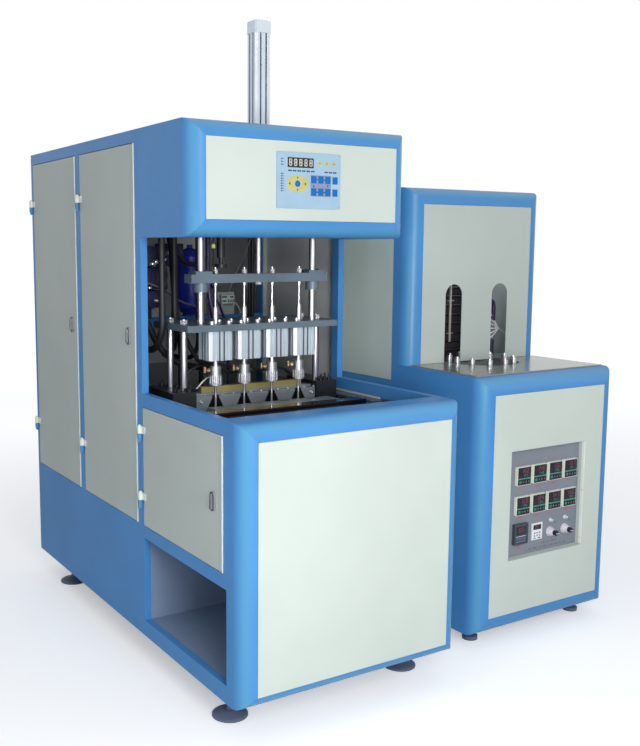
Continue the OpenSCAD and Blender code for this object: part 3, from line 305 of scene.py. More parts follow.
reflection_band_group, g_in, g_out = new_group(
    "painted_bar_reflections", [("Streaks", FLOAT, 3.0), ("Phase", FLOAT, REFLECTION_BRIGHT_PHASE)], [("Streak", FLOAT)])
place = add_node(reflection_band_group, "TexCoord")
parts = add_node(reflection_band_group, "SeparateXYZ")
turn = add_node(reflection_band_group, "Math", operation="ARCTAN2")
lobes = add_node(reflection_band_group, "Math", operation="MULTIPLY_ADD")
wave = add_node(reflection_band_group, "Math", operation="COSINE")
level = add_node(reflection_band_group, "MapRange", From_Min=-0.75, From_Max=0.9)
wire(reflection_band_group, (place, "Normal", parts, 0), (parts, "Y", turn, 0), (parts, "X", turn, 1),
     (turn, 0, lobes, 0), (g_in, "Streaks", lobes, 1), (g_in, "Phase", lobes, 2),
     (lobes, 0, wave, 0), (wave, 0, level, "Value"), (level, "Result", g_out, "Streak"))

# %% [markdown]
# ## Paint
#
# All sheet metal is powder coated: blue on the frames, a warm grey-white on doors and panels. The
# coat is smooth and half glossy, so a Principled shader with low roughness, a thin clear coat and
# an orange peel bump does it. Powder gathers where the sheet bends, so the group of bends makes
# those places glossier. The rounded surrounds catch the light there, and a paler tone at the bends
# is a painted highlight. One function makes every painted finish, and its arguments are colour,
# gloss, how much the tone wanders over the surface, and the colour of that painted highlight.

# %% Painted finishes
PAINT_EDGE, METAL_EDGE, PLASTIC_EDGE = 0.0016, 0.0008, 0.0006


def use_group(tree, group, **values):
    """Places a shader group in a material and sets its inputs by name."""
    made = add_node(tree, "Group", node_tree=group)
    for name, value in values.items():
        made.inputs[name.replace("_", " ")].default_value = value
    return made


def blend_colours(tree, mask, low, high):
    """A colour that goes from low to high, each a colour or a socket, as mask goes from 0 to 1."""
    made = add_node(tree, "Mix", data_type="RGBA")
    tree.links.new(mask, made.inputs["Factor"])
    for name, end in (("A", low), ("B", high)):
        if isinstance(end, tuple):
            made.inputs[name].default_value = end
        else:
            tree.links.new(end, made.inputs[name])
    return made.outputs["Result"]


def spread(tree, value, low, high, from_low=0.35, from_high=0.65):
    """Maps a noise value onto the range low to high."""
    made = add_node(tree, "MapRange", From_Min=from_low, From_Max=from_high, To_Min=low,
                    To_Max=high)
    tree.links.new(value, made.inputs["Value"])
    return made.outputs["Result"]


def shade(colour, factor):
    """The same colour, darker or lighter."""
    return (colour[0] * factor, colour[1] * factor, colour[2] * factor, 1.0)


def wandering(tree, mask, colour, wander):
    """A colour that is a little darker in some places and lighter in others."""
    return blend_colours(tree, spread(tree, mask, 0, 1), shade(colour, 1 - wander),
                         shade(colour, 1 + wander))


def join_up(tree, out, skin, tone, gloss, marks, edge, strength, depth):
    """Joins a shader to its colour, roughness, fine relief and softened edges."""
    tree.links.new(tone, skin.inputs["Base Color"])
    tree.links.new(gloss, skin.inputs["Roughness"])
    bump = add_node(tree, "Bump", Strength=strength, Distance=depth)
    wire(tree, (marks, "Height", bump, "Height"), (edge, "Normal", bump, "Normal"),
         (bump, "Normal", skin, "Normal"), (skin, 0, out, "Surface"))


def painted(name, colour, roughness, coat=0.25, wander=0.05, bend_highlight=None):
    """Powder coat on sheet metal: thicker and glossier where the sheet bends, and paler there as a
    painted highlight when a bend colour is given.
    """
    made, tree, out = new_material(name)
    skin = add_node(tree, "BsdfPrincipled", Coat_Roughness=0.28, Specular_IOR_Level=0.18)
    edge = use_group(tree, edge_group, Radius=PAINT_EDGE)
    marks = use_group(tree, peel_group)
    bends = use_group(tree, bend_group)
    if coat:
        tree.links.new(spread(tree, bends.outputs["Bend"], coat * 0.4, coat * 2, 0, 1),
                       skin.inputs["Coat Weight"])
    tone = wandering(tree, marks.outputs["Cloud"], colour, wander)
    # A paler tone where the sheet bends: a painted highlight.
    if bend_highlight:
        tone = blend_colours(tree, bends.outputs["Bend"], tone, bend_highlight)
    gloss = spread(tree, marks.outputs["Dust"], roughness - 0.03, roughness + 0.06)
    join_up(tree, out, skin, tone, gloss, marks, edge, 0.6, 0.00002)
    return made


# The blue is paler on the rounded surrounds: a painted highlight.
blue_paint = painted("blue_powder_coat", srgb(76, 142, 204), 0.38, bend_highlight=srgb(84, 155, 202))
cream_paint = painted("cream_powder_coat", srgb(203, 213, 205), 0.42, coat=0.1, wander=0.03)
# A darker copy of the cream paint for the doors on the half-shaded left side and the tower front
# further from the main lamp: painted shade.
shaded_cream_paint = painted("cream_coat_with_painted_shade", srgb(190, 200, 194), 0.45, coat=0.05, wander=0.03)
bay_paint = painted("dark_liner_paint", srgb(130, 148, 174), 0.5, coat=0.0, wander=0.1)
tank_paint = painted("tank_blue_enamel", srgb(52, 64, 196), 0.18, coat=0.3)
instrument_paint = painted("grey_plate_paint", srgb(134, 140, 150), 0.45, coat=0.05)
feet_paint = painted("slate_foot_paint", srgb(104, 114, 136), 0.5, coat=0.0, wander=0.12)
drive_paint = painted("drive_grey_paint", srgb(70, 78, 88), 0.5, coat=0.0, wander=0.12)
print("paints:", [m.name for m in (blue_paint, cream_paint, shaded_cream_paint, bay_paint, tank_paint)])

# %% [markdown]
# ## Metals
#
# Four kinds of metal show: polished rods, sawn and ground grey plates, drawn aluminium profiles and
# small plated screws. They differ in colour, in roughness and in the direction of their marks, so
# one function takes these and the shader group of machining marks does the rest. Polished bars also
# get painted reflection bands, and the grey plates painted highlights on their edges.

# %% Metal finishes
def metal(name, colour, roughness, stretch, wander=0.08, metallic=1.0, reflection_band_tone=1.0, edge_highlight=1.0,
          specular=0.5):
    """Bare or plated metal with straight marks along the axis whose stretch is small.

    A polished bar mirrors the whole room in narrow bands. A pale studio has nothing dark to mirror,
    so a band tone below 1 darkens the metal in bands round the bar, seen alike from every side: a
    painted reflection. An edge tone above 1 paints the edges lighter: a painted highlight."""
    made, tree, out = new_material(name)
    skin = add_node(tree, "BsdfPrincipled", Metallic=metallic, Specular_IOR_Level=specular)
    edge = use_group(tree, edge_group, Radius=METAL_EDGE)
    marks = use_group(tree, marks_group, Stretch=stretch)
    tone = wandering(tree, marks.outputs["Patch"], colour, wander)
    # Darker bands round the bar: a painted reflection.
    if reflection_band_tone != 1.0:
        bands = use_group(tree, reflection_band_group)
        tone = blend_colours(tree, bands.outputs["Streak"], shade(colour, reflection_band_tone), tone)
    # Lighter edges: a painted highlight.
    if edge_highlight != 1.0:
        tone = blend_colours(tree, edge.outputs["Edge"], tone, shade(colour, edge_highlight))
    gloss = spread(tree, marks.outputs["Streak"], roughness * 0.75, roughness * 1.3)
    join_up(tree, out, skin, tone, gloss, marks, edge, 0.5, 0.00001)
    return made


ALONG_X = (4.0, 500.0, 500.0)
ALONG_Z = (500.0, 500.0, 4.0)
ROUND_Z = (60.0, 60.0, 900.0)

# Chrome and turned steel are darker in bands round the bar: a painted reflection.
chrome = metal("polished_rod_chrome", srgb(228, 226, 236), 0.13, ALONG_Z, wander=0.03,
               metallic=0.55, reflection_band_tone=0.14)
turned_steel = metal("turned_steel", srgb(232, 230, 236), 0.22, ROUND_Z, wander=0.06,
                     metallic=0.6, reflection_band_tone=0.3)
aluminium = metal("drawn_aluminium", srgb(206, 218, 226), 0.34, ALONG_Z, wander=0.04,
                  metallic=0.45)
# Darker groove faces and lighter cut corners of the profiles: painted shade and a painted
# highlight.
aluminium_groove_shade = metal("aluminium_groove_shade", srgb(112, 122, 134), 0.45, ALONG_Z, metallic=0.4)
aluminium_corner_highlight = metal("aluminium_corner_highlight", srgb(246, 248, 252), 0.3, ALONG_Z, metallic=0.3)
# The edges of the grey plates and moulds are painted lighter: a painted highlight.
ground_plate = metal("ground_grey_plate", srgb(104, 120, 132), 0.42, ALONG_X, wander=0.12,
                     metallic=0.4, edge_highlight=1.7)
mould_steel = metal("milled_mould_steel", srgb(136, 144, 150), 0.36, ALONG_X, wander=0.2,
                    metallic=0.5, edge_highlight=1.6)
nickel = metal("bright_nickel", srgb(244, 240, 248), 0.24, ROUND_Z, metallic=0.3)
zinc = metal("zinc_plated_screws", srgb(212, 214, 218), 0.24, ROUND_Z)
olive_brass = metal("stop_bar_brass", srgb(176, 162, 108), 0.4, ALONG_X, wander=0.12,
                    metallic=0.8)
table_steel = metal("oven_table_sheet", srgb(150, 157, 151), 0.2, ALONG_X, wander=0.06,
                    metallic=0.3, specular=0.3)
# Black glossy sheet. On the table's front bar its black also stands in for the dark gap before the
# table: painted shade.
black_gloss_and_painted_shade = metal("black_sheet_and_painted_shade", srgb(26, 20, 28), 0.1, ALONG_X, wander=0.15,
                    metallic=0.0)
black_steel = metal("blackened_steel", srgb(34, 36, 42), 0.4, ALONG_X, wander=0.2, metallic=0.3)
print("metals:", [m.name for m in (chrome, turned_steel, aluminium, ground_plate, mould_steel)])

# %% [markdown]
# ## Plastic and rubber
#
# Instrument cases, the membrane keypad, knobs and hoses are moulded. Their surface is even, with a
# fine spark grain, so the powder coat group serves again, at another scale and without a coat.

# %% Moulded finishes
def moulded(name, colour, roughness=0.4, grain=1500.0, depth=0.00001, wander=0.04, specular=0.5):
    """Moulded plastic or rubber."""
    made, tree, out = new_material(name)
    skin = add_node(tree, "BsdfPrincipled", Specular_IOR_Level=specular)
    edge = use_group(tree, edge_group, Radius=PLASTIC_EDGE)
    marks = use_group(tree, peel_group, Grain_Scale=grain, Cloud_Scale=14.0)
    tone = wandering(tree, marks.outputs["Cloud"], colour, wander)
    gloss = spread(tree, marks.outputs["Dust"], roughness - 0.04, roughness + 0.06)
    join_up(tree, out, skin, tone, gloss, marks, edge, 0.5, depth)
    return made


membrane = moulded("keypad_membrane", srgb(158, 188, 210), 0.35)
case_beige = moulded("controller_case", srgb(238, 242, 230))
case_white = moulded("drive_display_case", srgb(232, 236, 238), 0.35)
case_grey = moulded("relay_case", srgb(196, 202, 200))
case_dark = moulded("power_controller_case", srgb(62, 70, 84))
black_plastic = moulded("black_plastic", srgb(26, 27, 31), 0.35)
knob_plastic = moulded("knob_plastic", srgb(44, 32, 66), 0.3)
hose_rubber = moulded("hose_rubber", srgb(28, 29, 33), 0.45, grain=500.0, depth=0.00003)
lamp_ceramic = moulded("lamp_holder_ceramic", srgb(222, 214, 196), 0.55, wander=0.08)
print("materials so far:", len(bpy.data.materials))

# %% [markdown]
# ## Dressing the frame
#
# Each piece of the frame now gets its finish. Where one piece of the frame holds two finishes, as
# each blowing head and its brass fittings do, the faces are told apart by where they lie.

# %% Give every piece its finish
FINISHES = {
    blue_paint: ["cabinet_frame", "hood_shell", "hinge_pins", "oven_frame"],
    cream_paint: ["lower_front_panel", "hood_front_panel", "cabinet_panels",
                  "oven_front_panel", "oven_panels"],
    shaded_cream_paint: ["door_rear", "door_middle", "door_low", "tower_front_panel"],
    bay_paint: ["bay_liner"],
    feet_paint: ["levelling_feet"],
    # The black of the table's front bar is partly painted shade.
    black_gloss_and_painted_shade: ["table_plates", "front_platen"],
    black_steel: ["mould_bed", "bed_plate", "spindle_disc"],
    membrane: ["keypad"],
    ground_plate: ["top_plate", "blow_plate", "stretch_beam"],
    aluminium: ["stretch_cylinder", "blow_cylinders", "clamp_cylinder"],
    chrome: ["guide_rods", "plate_columns", "tie_bars", "stretch_rods", "piston_rod",
             "latch_rear", "latch_middle", "latch_low"],
    nickel: ["switch_bezels", "toggle_left", "toggle_right"],
    turned_steel: ["blow_head_1", "blow_head_2", "blow_head_3", "blow_head_4", "spindle_set"],
    zinc: ["plate_screws", "rod_nuts"],
    mould_steel: ["rear_mould", "front_mould"],
    olive_brass: ["stop_bar"],
    tank_paint: ["air_tank"],
    case_grey: ["control_box"],
    black_plastic: ["air_filter"],
    hose_rubber: ["air_hoses"],
    table_steel: ["oven_table_plate"],
    drive_paint: ["disc_drive"],
    lamp_ceramic: ["lamp_bank"],
    instrument_paint: ["instrument_plate"],
    case_beige: ["controllers"],
    case_white: ["drive_display"],
    knob_plastic: ["selector_left", "selector_right"],
}
for finish, names in FINISHES.items():
    for name in names:
        mesh = nodes[name].data
        mesh.materials.clear()
        mesh.materials.append(finish)
undressed = sorted(set(nodes) - {n for names in FINISHES.values() for n in names})
print("finishes:", len(FINISHES), "undressed pieces:", undressed)


def repaint(node, finish, chosen):
    """Gives finish to the faces of a piece whose centre passes the test chosen."""
    mesh = nodes[node].data
    mesh.materials.append(finish)
    slot = len(mesh.materials) - 1
    count = 0
    for face in mesh.polygons:
        if chosen(face.center):
            face.material_index = slot
            count += 1
    print(node, "has", count, "faces in", finish.name)


# %% [markdown]
# ## A workshop for small pieces
#
# Keys, screws and digits are many, small and hard-edged. Adding them one by one from the menu would
# give hundreds of objects. So we collect all small solids of one finish in one mesh: the class
# below knows a block with rounded edges, a turned piece given by its profile, and a bent tube. All
# its measures are millimetres in the frame's own axes.

# %% The workshop
AXIS_TURN = {
    "-Y": Matrix.Rotation(math.pi / 2, 4, "X"),
    "Z": Matrix.Identity(4),
    "-Z": Matrix.Rotation(math.pi, 4, "X"),
}
BEND_STEPS = 6
CREASE = math.radians(35)


class Workshop:
    """Small solids of one finish, gathered in one mesh until the piece is done."""

    def __init__(self):
        self.mesh = bmesh.new()

    def block(self, low, high, soften=0.0, steps=2):
        """A block between two corners, with rounded edges."""
        made = bmesh.ops.create_cube(self.mesh, size=1.0)["verts"]
        for v in made:
            v.co = Vector((low[i] + (v.co[i] + 0.5) * (high[i] - low[i])) for i in range(3))
        if soften > 0:
            edges = {e for v in made for e in v.link_edges}
            bmesh.ops.bevel(self.mesh, geom=list(edges), offset=soften, segments=steps,
                            affect="EDGES", profile=0.6)

    def join(self, rings):
        """Closes a row of rings of vertices to a solid; a ring may also be a single tip."""
        for low, high in zip(rings, rings[1:]):
            sides = max(len(low), len(high))
            for k in range(sides):
                n = (k + 1) % sides
                if len(low) == 1:
                    self.mesh.faces.new((low[0], high[n], high[k]))
                elif len(high) == 1:
                    self.mesh.faces.new((low[k], low[n], high[0]))
                else:
                    self.mesh.faces.new((low[k], low[n], high[n], high[k]))
        for ring in (rings[0][::-1], rings[-1]):
            if len(ring) > 1:
                self.mesh.faces.new(ring)

    def turned(self, profile, place, axis="Z", sides=32, tilt=None):
        """A turned piece: profile is a list of (radius, height) along the axis."""
        turn = AXIS_TURN[axis] if tilt is None else tilt
        rings = []
        for radius, height in profile:
            angles = [2 * math.pi * k / sides for k in range(sides if radius else 1)]
            rings.append([
                self.mesh.verts.new(Vector(place) + turn @ Vector(
                    (radius * math.cos(angle), radius * math.sin(angle), height)))
                for angle in angles
            ])
        self.join(rings)

    def tube(self, points, radius, sides):
        """A round tube through the points, bent smoothly."""
        spots = [Vector(p) for p in points]
        steps = BEND_STEPS if len(spots) > 2 else 1
        path = []
        for i in range(len(spots) - 1):
            a, b, c = spots[max(i - 1, 0)], spots[i], spots[i + 1]
            d = spots[min(i + 2, len(spots) - 1)]
            for k in range(steps):
                t = k / steps
                path.append(0.5 * ((2 * b) + (c - a) * t + (2 * a - 5 * b + 4 * c - d) * t * t
                                   + (3 * b - a - 3 * c + d) * t ** 3))
        path.append(spots[-1])
        side = None
        rings = []
        for i, spot in enumerate(path):
            ahead = (path[min(i + 1, len(path) - 1)] - path[max(i - 1, 0)]).normalized()
            if side is None:
                side = ahead.orthogonal().normalized()
            side = (side - ahead * side.dot(ahead)).normalized()
            up = ahead.cross(side)
            rings.append([
                self.mesh.verts.new(spot + radius * (math.cos(2 * math.pi * k / sides) * side
                                                     + math.sin(2 * math.pi * k / sides) * up))
                for k in range(sides)
            ])
        self.join(rings)

    def sheet(self, outline, face_y, thick):
        """A flat cut-out that lies on a front: outline is a list of (x, z)."""
        self.join([[self.mesh.verts.new((x, y, z)) for x, z in outline]
                   for y in (face_y, face_y - thick)])

    def done(self, name, finish, slot, body="machine"):
        """Turns the collected solids into one object that rides on a body."""
        bmesh.ops.recalc_face_normals(self.mesh, faces=self.mesh.faces)
        bmesh.ops.scale(self.mesh, vec=(MM, MM, MM), verts=self.mesh.verts)
        for edge in self.mesh.edges:
            edge.smooth = edge.calc_face_angle(math.pi) < CREASE
        for face in self.mesh.faces:
            face.smooth = True
        data = bpy.data.meshes.new(name)
        self.mesh.to_mesh(data)
        self.mesh.free()
        self.mesh = bmesh.new()
        data.materials.append(finish)
        made = bpy.data.objects.new(name, data)
        bpy.context.scene.collection.objects.link(made)
        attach(made, body)
        print(name, "has", len(data.polygons), "faces")
        return made


shop = Workshop()


def blocks(name, finish, slot, *measures, body="machine"):
    """A piece of blocks alone, each given as (low corner, high corner, rounding, steps)."""
    for measure in measures:
        shop.block(*measure)
    shop.done(name, finish, slot, body)


def glowing(name, colour, glow, strength):
    """A lit display segment: plastic that also gives off a little light of its own."""
    made = moulded(name, colour, 0.3)
    skin = next(n for n in made.node_tree.nodes if n.type == "BSDF_PRINCIPLED")
    skin.inputs["Emission Color"].default_value = glow
    skin.inputs["Emission Strength"].default_value = strength
    return made


SEGMENTS = {
    "0": "abcdef", "1": "bc", "2": "abged", "3": "abgcd", "4": "fgbc", "5": "afgcd",
    "6": "afgedc", "7": "abc", "8": "abcdefg", "9": "abcdfg",
}


def digit(shop, sign, x, z, face_y, width, height, bar, thick=0.3):
    """A seven-segment digit with its lower left corner at (x, z) on a front face."""
    mid, gap, cut = height / 2, bar * 0.18, bar * 0.3
    lay = {
        "a": (0, height - bar, width, height), "d": (0, 0, width, bar),
        "g": (0, mid - bar / 2, width, mid + bar / 2),
        "f": (0, mid, bar, height), "e": (0, 0, bar, mid),
        "b": (width - bar, mid, width, height), "c": (width - bar, 0, width, mid),
    }
    for name in SEGMENTS[sign]:
        x0, z0, x1, z1 = lay[name]
        if name in "adg":
            x0, x1 = x0 + gap, x1 - gap
        else:
            z0, z1 = z0 + gap, z1 - gap
        x0, x1, z0, z1 = x + x0, x + x1, z + z0, z + z1
        shop.sheet([(x0 + cut, z0), (x1 - cut, z0), (x1, z0 + cut), (x1, z1 - cut),
                    (x1 - cut, z1), (x0 + cut, z1), (x0, z1 - cut), (x0, z0 + cut)],
                   face_y, thick)


# %% [markdown]
# ## The keypad on the hood
#
# A membrane keypad is a printed film with embossed keys over a display window. Everything on it is
# at most a millimetre and a quarter proud, but the low light from the left shows each rim, so keys,
# rings and digits are real shapes instead of a drawing on a flat plate. Its words are left out; the
# rows of small marks stand for the legends beside the lamps.

# %% Keypad prints
print_blue = moulded("keypad_blue_keys", srgb(4, 106, 176), 0.35, specular=0.25)
print_navy = moulded("keypad_navy_print", srgb(28, 46, 92), 0.45, specular=0.25)
print_black = moulded("keypad_black_print", srgb(34, 34, 28), 0.45, specular=0.25)
print_yellow = moulded("keypad_yellow_print", srgb(198, 190, 110), specular=0.25)
print_grey = moulded("keypad_grey_print", srgb(136, 146, 180), specular=0.25)
window_black = moulded("display_window", srgb(22, 22, 26), 0.12)
digit_white = glowing("keypad_digits", srgb(214, 214, 206), srgb(214, 214, 206), 0.12)

pad_low, pad_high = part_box("keypad")
PAD_X, PAD_Y, PAD_Z = pad_low[0] / MM, pad_low[1] / MM, pad_high[2] / MM
DOT_U = (167.5, 196.5, 225.5)
RING_U, RING_V = 80, 101


def pad(u, v):
    """A spot on the keypad, u to the right and v down from its upper left corner."""
    return PAD_X + u, PAD_Z - v


def pad_block(u0, v0, u1, v1, proud=0.3, soften=0.1, base=0.0):
    """A raised field on the keypad."""
    x0, z1 = pad(u0, v0)
    x1, z0 = pad(u1, v1)
    shop.block((x0, PAD_Y - base - proud, z0), (x1, PAD_Y - base + 0.05, z1), soften, 1)


def pad_turned(u, v, profile):
    """A round key or ring on the keypad."""
    x, z = pad(u, v)
    shop.turned(profile, (x, PAD_Y, z), "-Y", 40)


pad_block(40.5, 17, 143, 49, 0.5, 0.2)
for k in range(5):
    pad_block(42.5 + 20 * k, 19, 61 + 20 * k, 47, 0.35, 0.15, 0.35)
shop.done("keypad_window", window_black, "keypad")
for k in range(5):
    x, z = pad(46 + 20 * k, 44)
    digit(shop, "8", x, z, PAD_Y - 0.68, 11.5, 22.5, 2.9)
shop.done("keypad_digits", digit_white, "keypad")

# %% Keypad lamps and legends
for v in [23, 32, 41] + [70 + 7.9 * k for k in range(8)]:
    pad_block(15, v - 2, 18.2, v + 2, 0.15, 0.04)
    pad_block(18.9, v - 2, 21.6, v + 2, 0.15, 0.04)
    pad_block(24.4, v - 1.2, 26.8, v + 1.2, 0.25)
for count, first, step, top, bottom in ((6, 43, 18, 57, 61.8), (3, 187, 17.5, 57.5, 62.5)):
    for k in range(count):
        u = first + step * k
        pad_block(u, top, u + 6.5, bottom, 0.15, 0.04)
        pad_block(u + 7.5, top, u + 13.5, bottom, 0.15, 0.04)
shop.done("keypad_legends", print_navy, "keypad")

for u in DOT_U:
    pad_turned(u, 32, [(0, -0.05), (8, -0.05), (8, 0.3), (7.4, 0.5), (5.6, 0.35), (0, 0.6)])
oval = [(RING_U + 42 * math.cos(t), RING_V + 27.5 * math.sin(t))
        for t in (2 * math.pi * k / 72 for k in range(72))]
shop.sheet([pad(u, v) for u, v in oval], PAD_Y + 0.05, 0.35)
shop.done("keypad_yellow_keys", print_yellow, "keypad")

# %% Keypad keys
KEY_U, KEY_V = (133.5, 162, 190.5), (73, 113.5)
pad_block(131.5, 71, 213.5, 140.5, 0.2, 0.08)
shop.done("keypad_mimic_field", print_grey, "keypad")

for v in KEY_V:
    for u in KEY_U:
        pad_block(u, v, u + 21.5, v + 24.5, 0.8, 0.5)
    pad_block(220, v + 1.5, 241, v + 25, 0.8, 0.5)
pad_turned(RING_U, RING_V, [(0, 0.2), (10.5, 0.2), (10.5, 0.8), (9.6, 1.1), (0, 1.25)])
shop.done("keypad_blue_keys", print_blue, "keypad")

for v in KEY_V:
    for u in (154.5, 183):
        pad_block(u, v + 11, u + 8, v + 14, 0.4, 0.08)
for u, flip in ((144, 1), (201, -1)):
    x, z = pad(u, 106)
    shop.sheet([(x - 3, z - 4 * flip), (x + 3, z - 4 * flip), (x, z + 5 * flip)],
               PAD_Y - 0.15, 0.25)
shop.done("keypad_mimic_print", print_navy, "keypad")

for cos, sin, reach, long, wing in ((1, 0, 27, 8, 6), (-1, 0, 27, 8, 6),
                                    (0, 1, 18.5, 5.5, 3.2), (0, -1, 18.5, 5.5, 3.2)):
    spots = [(reach + long, 0), (reach, wing), (reach + long * 0.2, 0), (reach, -wing)]
    shop.sheet([pad(RING_U + a * cos - b * sin, RING_V - a * sin - b * cos) for a, b in spots],
               PAD_Y - 0.28, 0.25)
    if cos == 0:
        low, high = sorted((RING_V - 16 * sin, RING_V - 19.5 * sin))
        pad_block(RING_U - 1.2, low, RING_U + 1.2, high, 0.25, 0.06, 0.28)
for u in DOT_U:
    pad_block(u - 3, 31, u + 3, 33.4, 0.15, 0.05, 0.5)
shop.done("keypad_arrows", print_black, "keypad")
pad_turned(RING_U, RING_V, [(0, 0.2), (13.5, 0.2), (13.5, 0.5), (13, 0.6), (0, 0.6)])
shop.done("keypad_centre_ring", membrane, "keypad")

# %% [markdown]
# ## The instruments of the oven
#
# Eight temperature controllers, a larger power controller and the little display of the disc's
# drive sit in the sunk window. A controller is a pale frame around a black face: actual value in
# red digits, set value in smaller green ones, a green band and four keys. The digits show the usual
# values of such an oven. Each controller has its lamp zone's number printed beneath it.

# %% Controllers
face_black = moulded("controller_face", srgb(34, 28, 38), 0.22)
band_green = moulded("controller_band", srgb(28, 158, 124), 0.35)
digit_red = glowing("actual_value_digits", srgb(128, 62, 80), srgb(150, 66, 90), 0.12)
digit_green = glowing("set_value_digits", srgb(74, 118, 120), srgb(90, 150, 150), 0.1)
number_red = moulded("zone_number_print", srgb(196, 74, 84), 0.45)
key_pale = moulded("controller_key_signs", srgb(150, 154, 164))
key_teal = moulded("set_key", srgb(20, 128, 116), 0.35)

METERS = [(401 + 86 * i, 605 - 117 * j, i + 4 * j) for j in range(2) for i in range(4)]
SHOWN = ("152", "148", "136", "131", "128", "134", "141", "150")
FACE_Y, PLATE_Y = -768.5, -755
faces, bands, reds, greens, teals, signs, numbers = [Workshop() for _ in range(7)]


def zone_number(zone, x, z):
    """The number of a lamp zone between two dashes, printed on the plate under a controller."""
    digit(numbers, str(zone), x, z, PLATE_Y + 0.05, 9, 15, 2.4)
    for left in (x - 13.5, x + 14.5):
        numbers.block((left, PLATE_Y - 0.3, z + 6.2), (left + 8, PLATE_Y + 0.1, z + 8.8), 0.05, 1)


for x, z, zone in METERS:
    faces.block((x + 1.4, FACE_Y - 0.9, z + 1.6), (x + 70.6, FACE_Y + 0.1, z + 70), 0.5)
    for k, sign in enumerate(SHOWN[zone]):
        digit(reds, sign, x + 20 + 14 * k, z + 47, FACE_Y - 0.88, 10, 17, 2.2)
        digit(greens, sign, x + 27 + 10 * k, z + 33.5, FACE_Y - 0.88, 7, 9.5, 1.5)
    bands.block((x + 2, FACE_Y - 1.15, z + 24), (x + 70, FACE_Y - 0.8, z + 28.5), 0.1, 1)
    signs.block((x + 9, FACE_Y - 1.3, z + 25.6), (x + 16, FACE_Y - 1.1, z + 27.6), 0.08, 1)
    for k in range(4):
        key_x = x + 8 + 15 * k
        (faces if k else teals).block((key_x, FACE_Y - 1.6, z + 8.5),
                                      (key_x + 12, FACE_Y - 0.8, z + 18.5), 0.35)
        if k:
            signs.turned([(0, 0), (2.2, 0), (2.2, 0.12), (0, 0.12)],
                         (key_x + 6, FACE_Y - 1.55, z + 13.5), "-Y", 12)
    zone_number(zone + 1, x + 31.5, z - 22)
faces.done("controller_faces", face_black, "controllers")
bands.done("controller_bands", band_green, "controllers")
reds.done("actual_values", digit_red, "controllers")
greens.done("set_values", digit_green, "controllers")
teals.done("set_keys", key_teal, "controllers")
signs.done("key_signs", key_pale, "controllers")

# %% Power controller and drive display
repaint("controllers", case_dark, lambda c: c.z < 0.46)
screen_dark = moulded("power_screen", srgb(42, 40, 52), 0.2)
key_slate = moulded("power_keys", srgb(92, 108, 124))
line_white = moulded("white_print", srgb(216, 222, 226))
key_light_blue = moulded("run_key", srgb(120, 190, 220))
key_red = moulded("stop_key", srgb(206, 96, 100))

blocks("power_face", case_dark, "controllers",
       ((400.5, -767.8, 377.5), (463.5, -766.9, 448.5), 0.4))
shop.block((405, -768.3, 411), (459, -767.7, 445), 0.3)
shop.block((505.3, -760.4, 415.3), (548.7, -759.4, 434.7), 0.2, 1)
for i in range(3):
    for j in range(2):
        shop.turned([(0, -1.2), (2.7, -1.2), (2.7, 0.9), (2.2, 1.3), (0, 1.4)],
                    (513 + 14 * i, -761, 391 + 11 * j), "-Y", 20)
shop.done("dark_screens", screen_dark, "drive_display")
for k, sign in enumerate("60"):
    digit(shop, sign, 419 + 14 * k, 421, -768.25, 10, 17, 2.0)
for k, sign in enumerate("24"):
    digit(shop, sign, 517 + 9 * k, 419, -760.35, 6.5, 11.5, 1.5)
shop.done("power_digits", digit_red, "controllers")
blocks("power_line", line_white, "controllers", ((405, -768.1, 404), (459, -767.7, 406), 0.08, 1))
blocks("power_keys", key_slate, "controllers",
       *(((x, -768.6, z), (x + 11, -767.7, z + 8), 0.3)
         for x in (406, 419.4, 432.8, 446.2) for z in (381, 392)))
for name, finish, x in (("run_key", key_light_blue, 507), ("stop_key", key_red, 531)):
    blocks(name, finish, "drive_display", ((x, -761.6, 378.5), (x + 14, -760.9, 384.5), 0.25))
zone_number(9, 428.5, 351)
numbers.done("zone_numbers", number_red, "instrument_plate")

# %% Legends under the switches
legend = random.Random(4)
for z, x, stop in ((352, 560, 640), (336, 470, 690)):
    while x < stop:
        wide = legend.choice((5, 7, 9))
        shop.block((x, PLATE_Y - 0.25, z), (x + wide, PLATE_Y + 0.1, z + legend.choice((5, 7))),
                   0.05, 1)
        x += wide + legend.choice((3, 8, 14))
shop.done("switch_legends", moulded("legend_grey", srgb(96, 106, 120)), "instrument_plate")

# %% The window's edge strip, white as a painted highlight
blocks("window_strip", moulded("window_edge_painted_highlight", srgb(244, 248, 240), 0.35), "oven_front_panel",
       *(((751.8, -784.8, low), (753.9, -770.5, high), 0.4)
         for low, high in ((327, 350), (352.5, 545), (548.5, 745.5))))

# %% Painted shade in the grooves and painted highlights on the corners of the drawn profiles
def profile_faces(node, centres, half, corner, reach):
    """Paints shade into the middle grooves of a square profile and a highlight onto its cut
    corners.
    """
    for x, y in centres:
        def off(c):
            return abs(c.x / MM - x), abs(c.y / MM - y)
        repaint(node, aluminium_groove_shade,
                lambda c: half - 8 < max(off(c)) < half - 0.4 and min(off(c)) < reach)
        repaint(node, aluminium_corner_highlight,
                lambda c: abs(sum(off(c)) - corner) < 1.5 and max(off(c)) < half - 0.4)


def middle(node):
    """The middle of a node's box in millimetres, seen from above."""
    low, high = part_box(node)
    return (low[0] + high[0]) / 2 / MM, (low[1] + high[1]) / 2 / MM


PITCH = 118
x, y = middle("blow_cylinders")
profile_faces("blow_cylinders", [(x + PITCH * (k - 1.5), y) for k in range(4)], 47.5, 85.3, 15)
profile_faces("stretch_cylinder", [middle("stretch_cylinder")], 31, 55.7, 20)

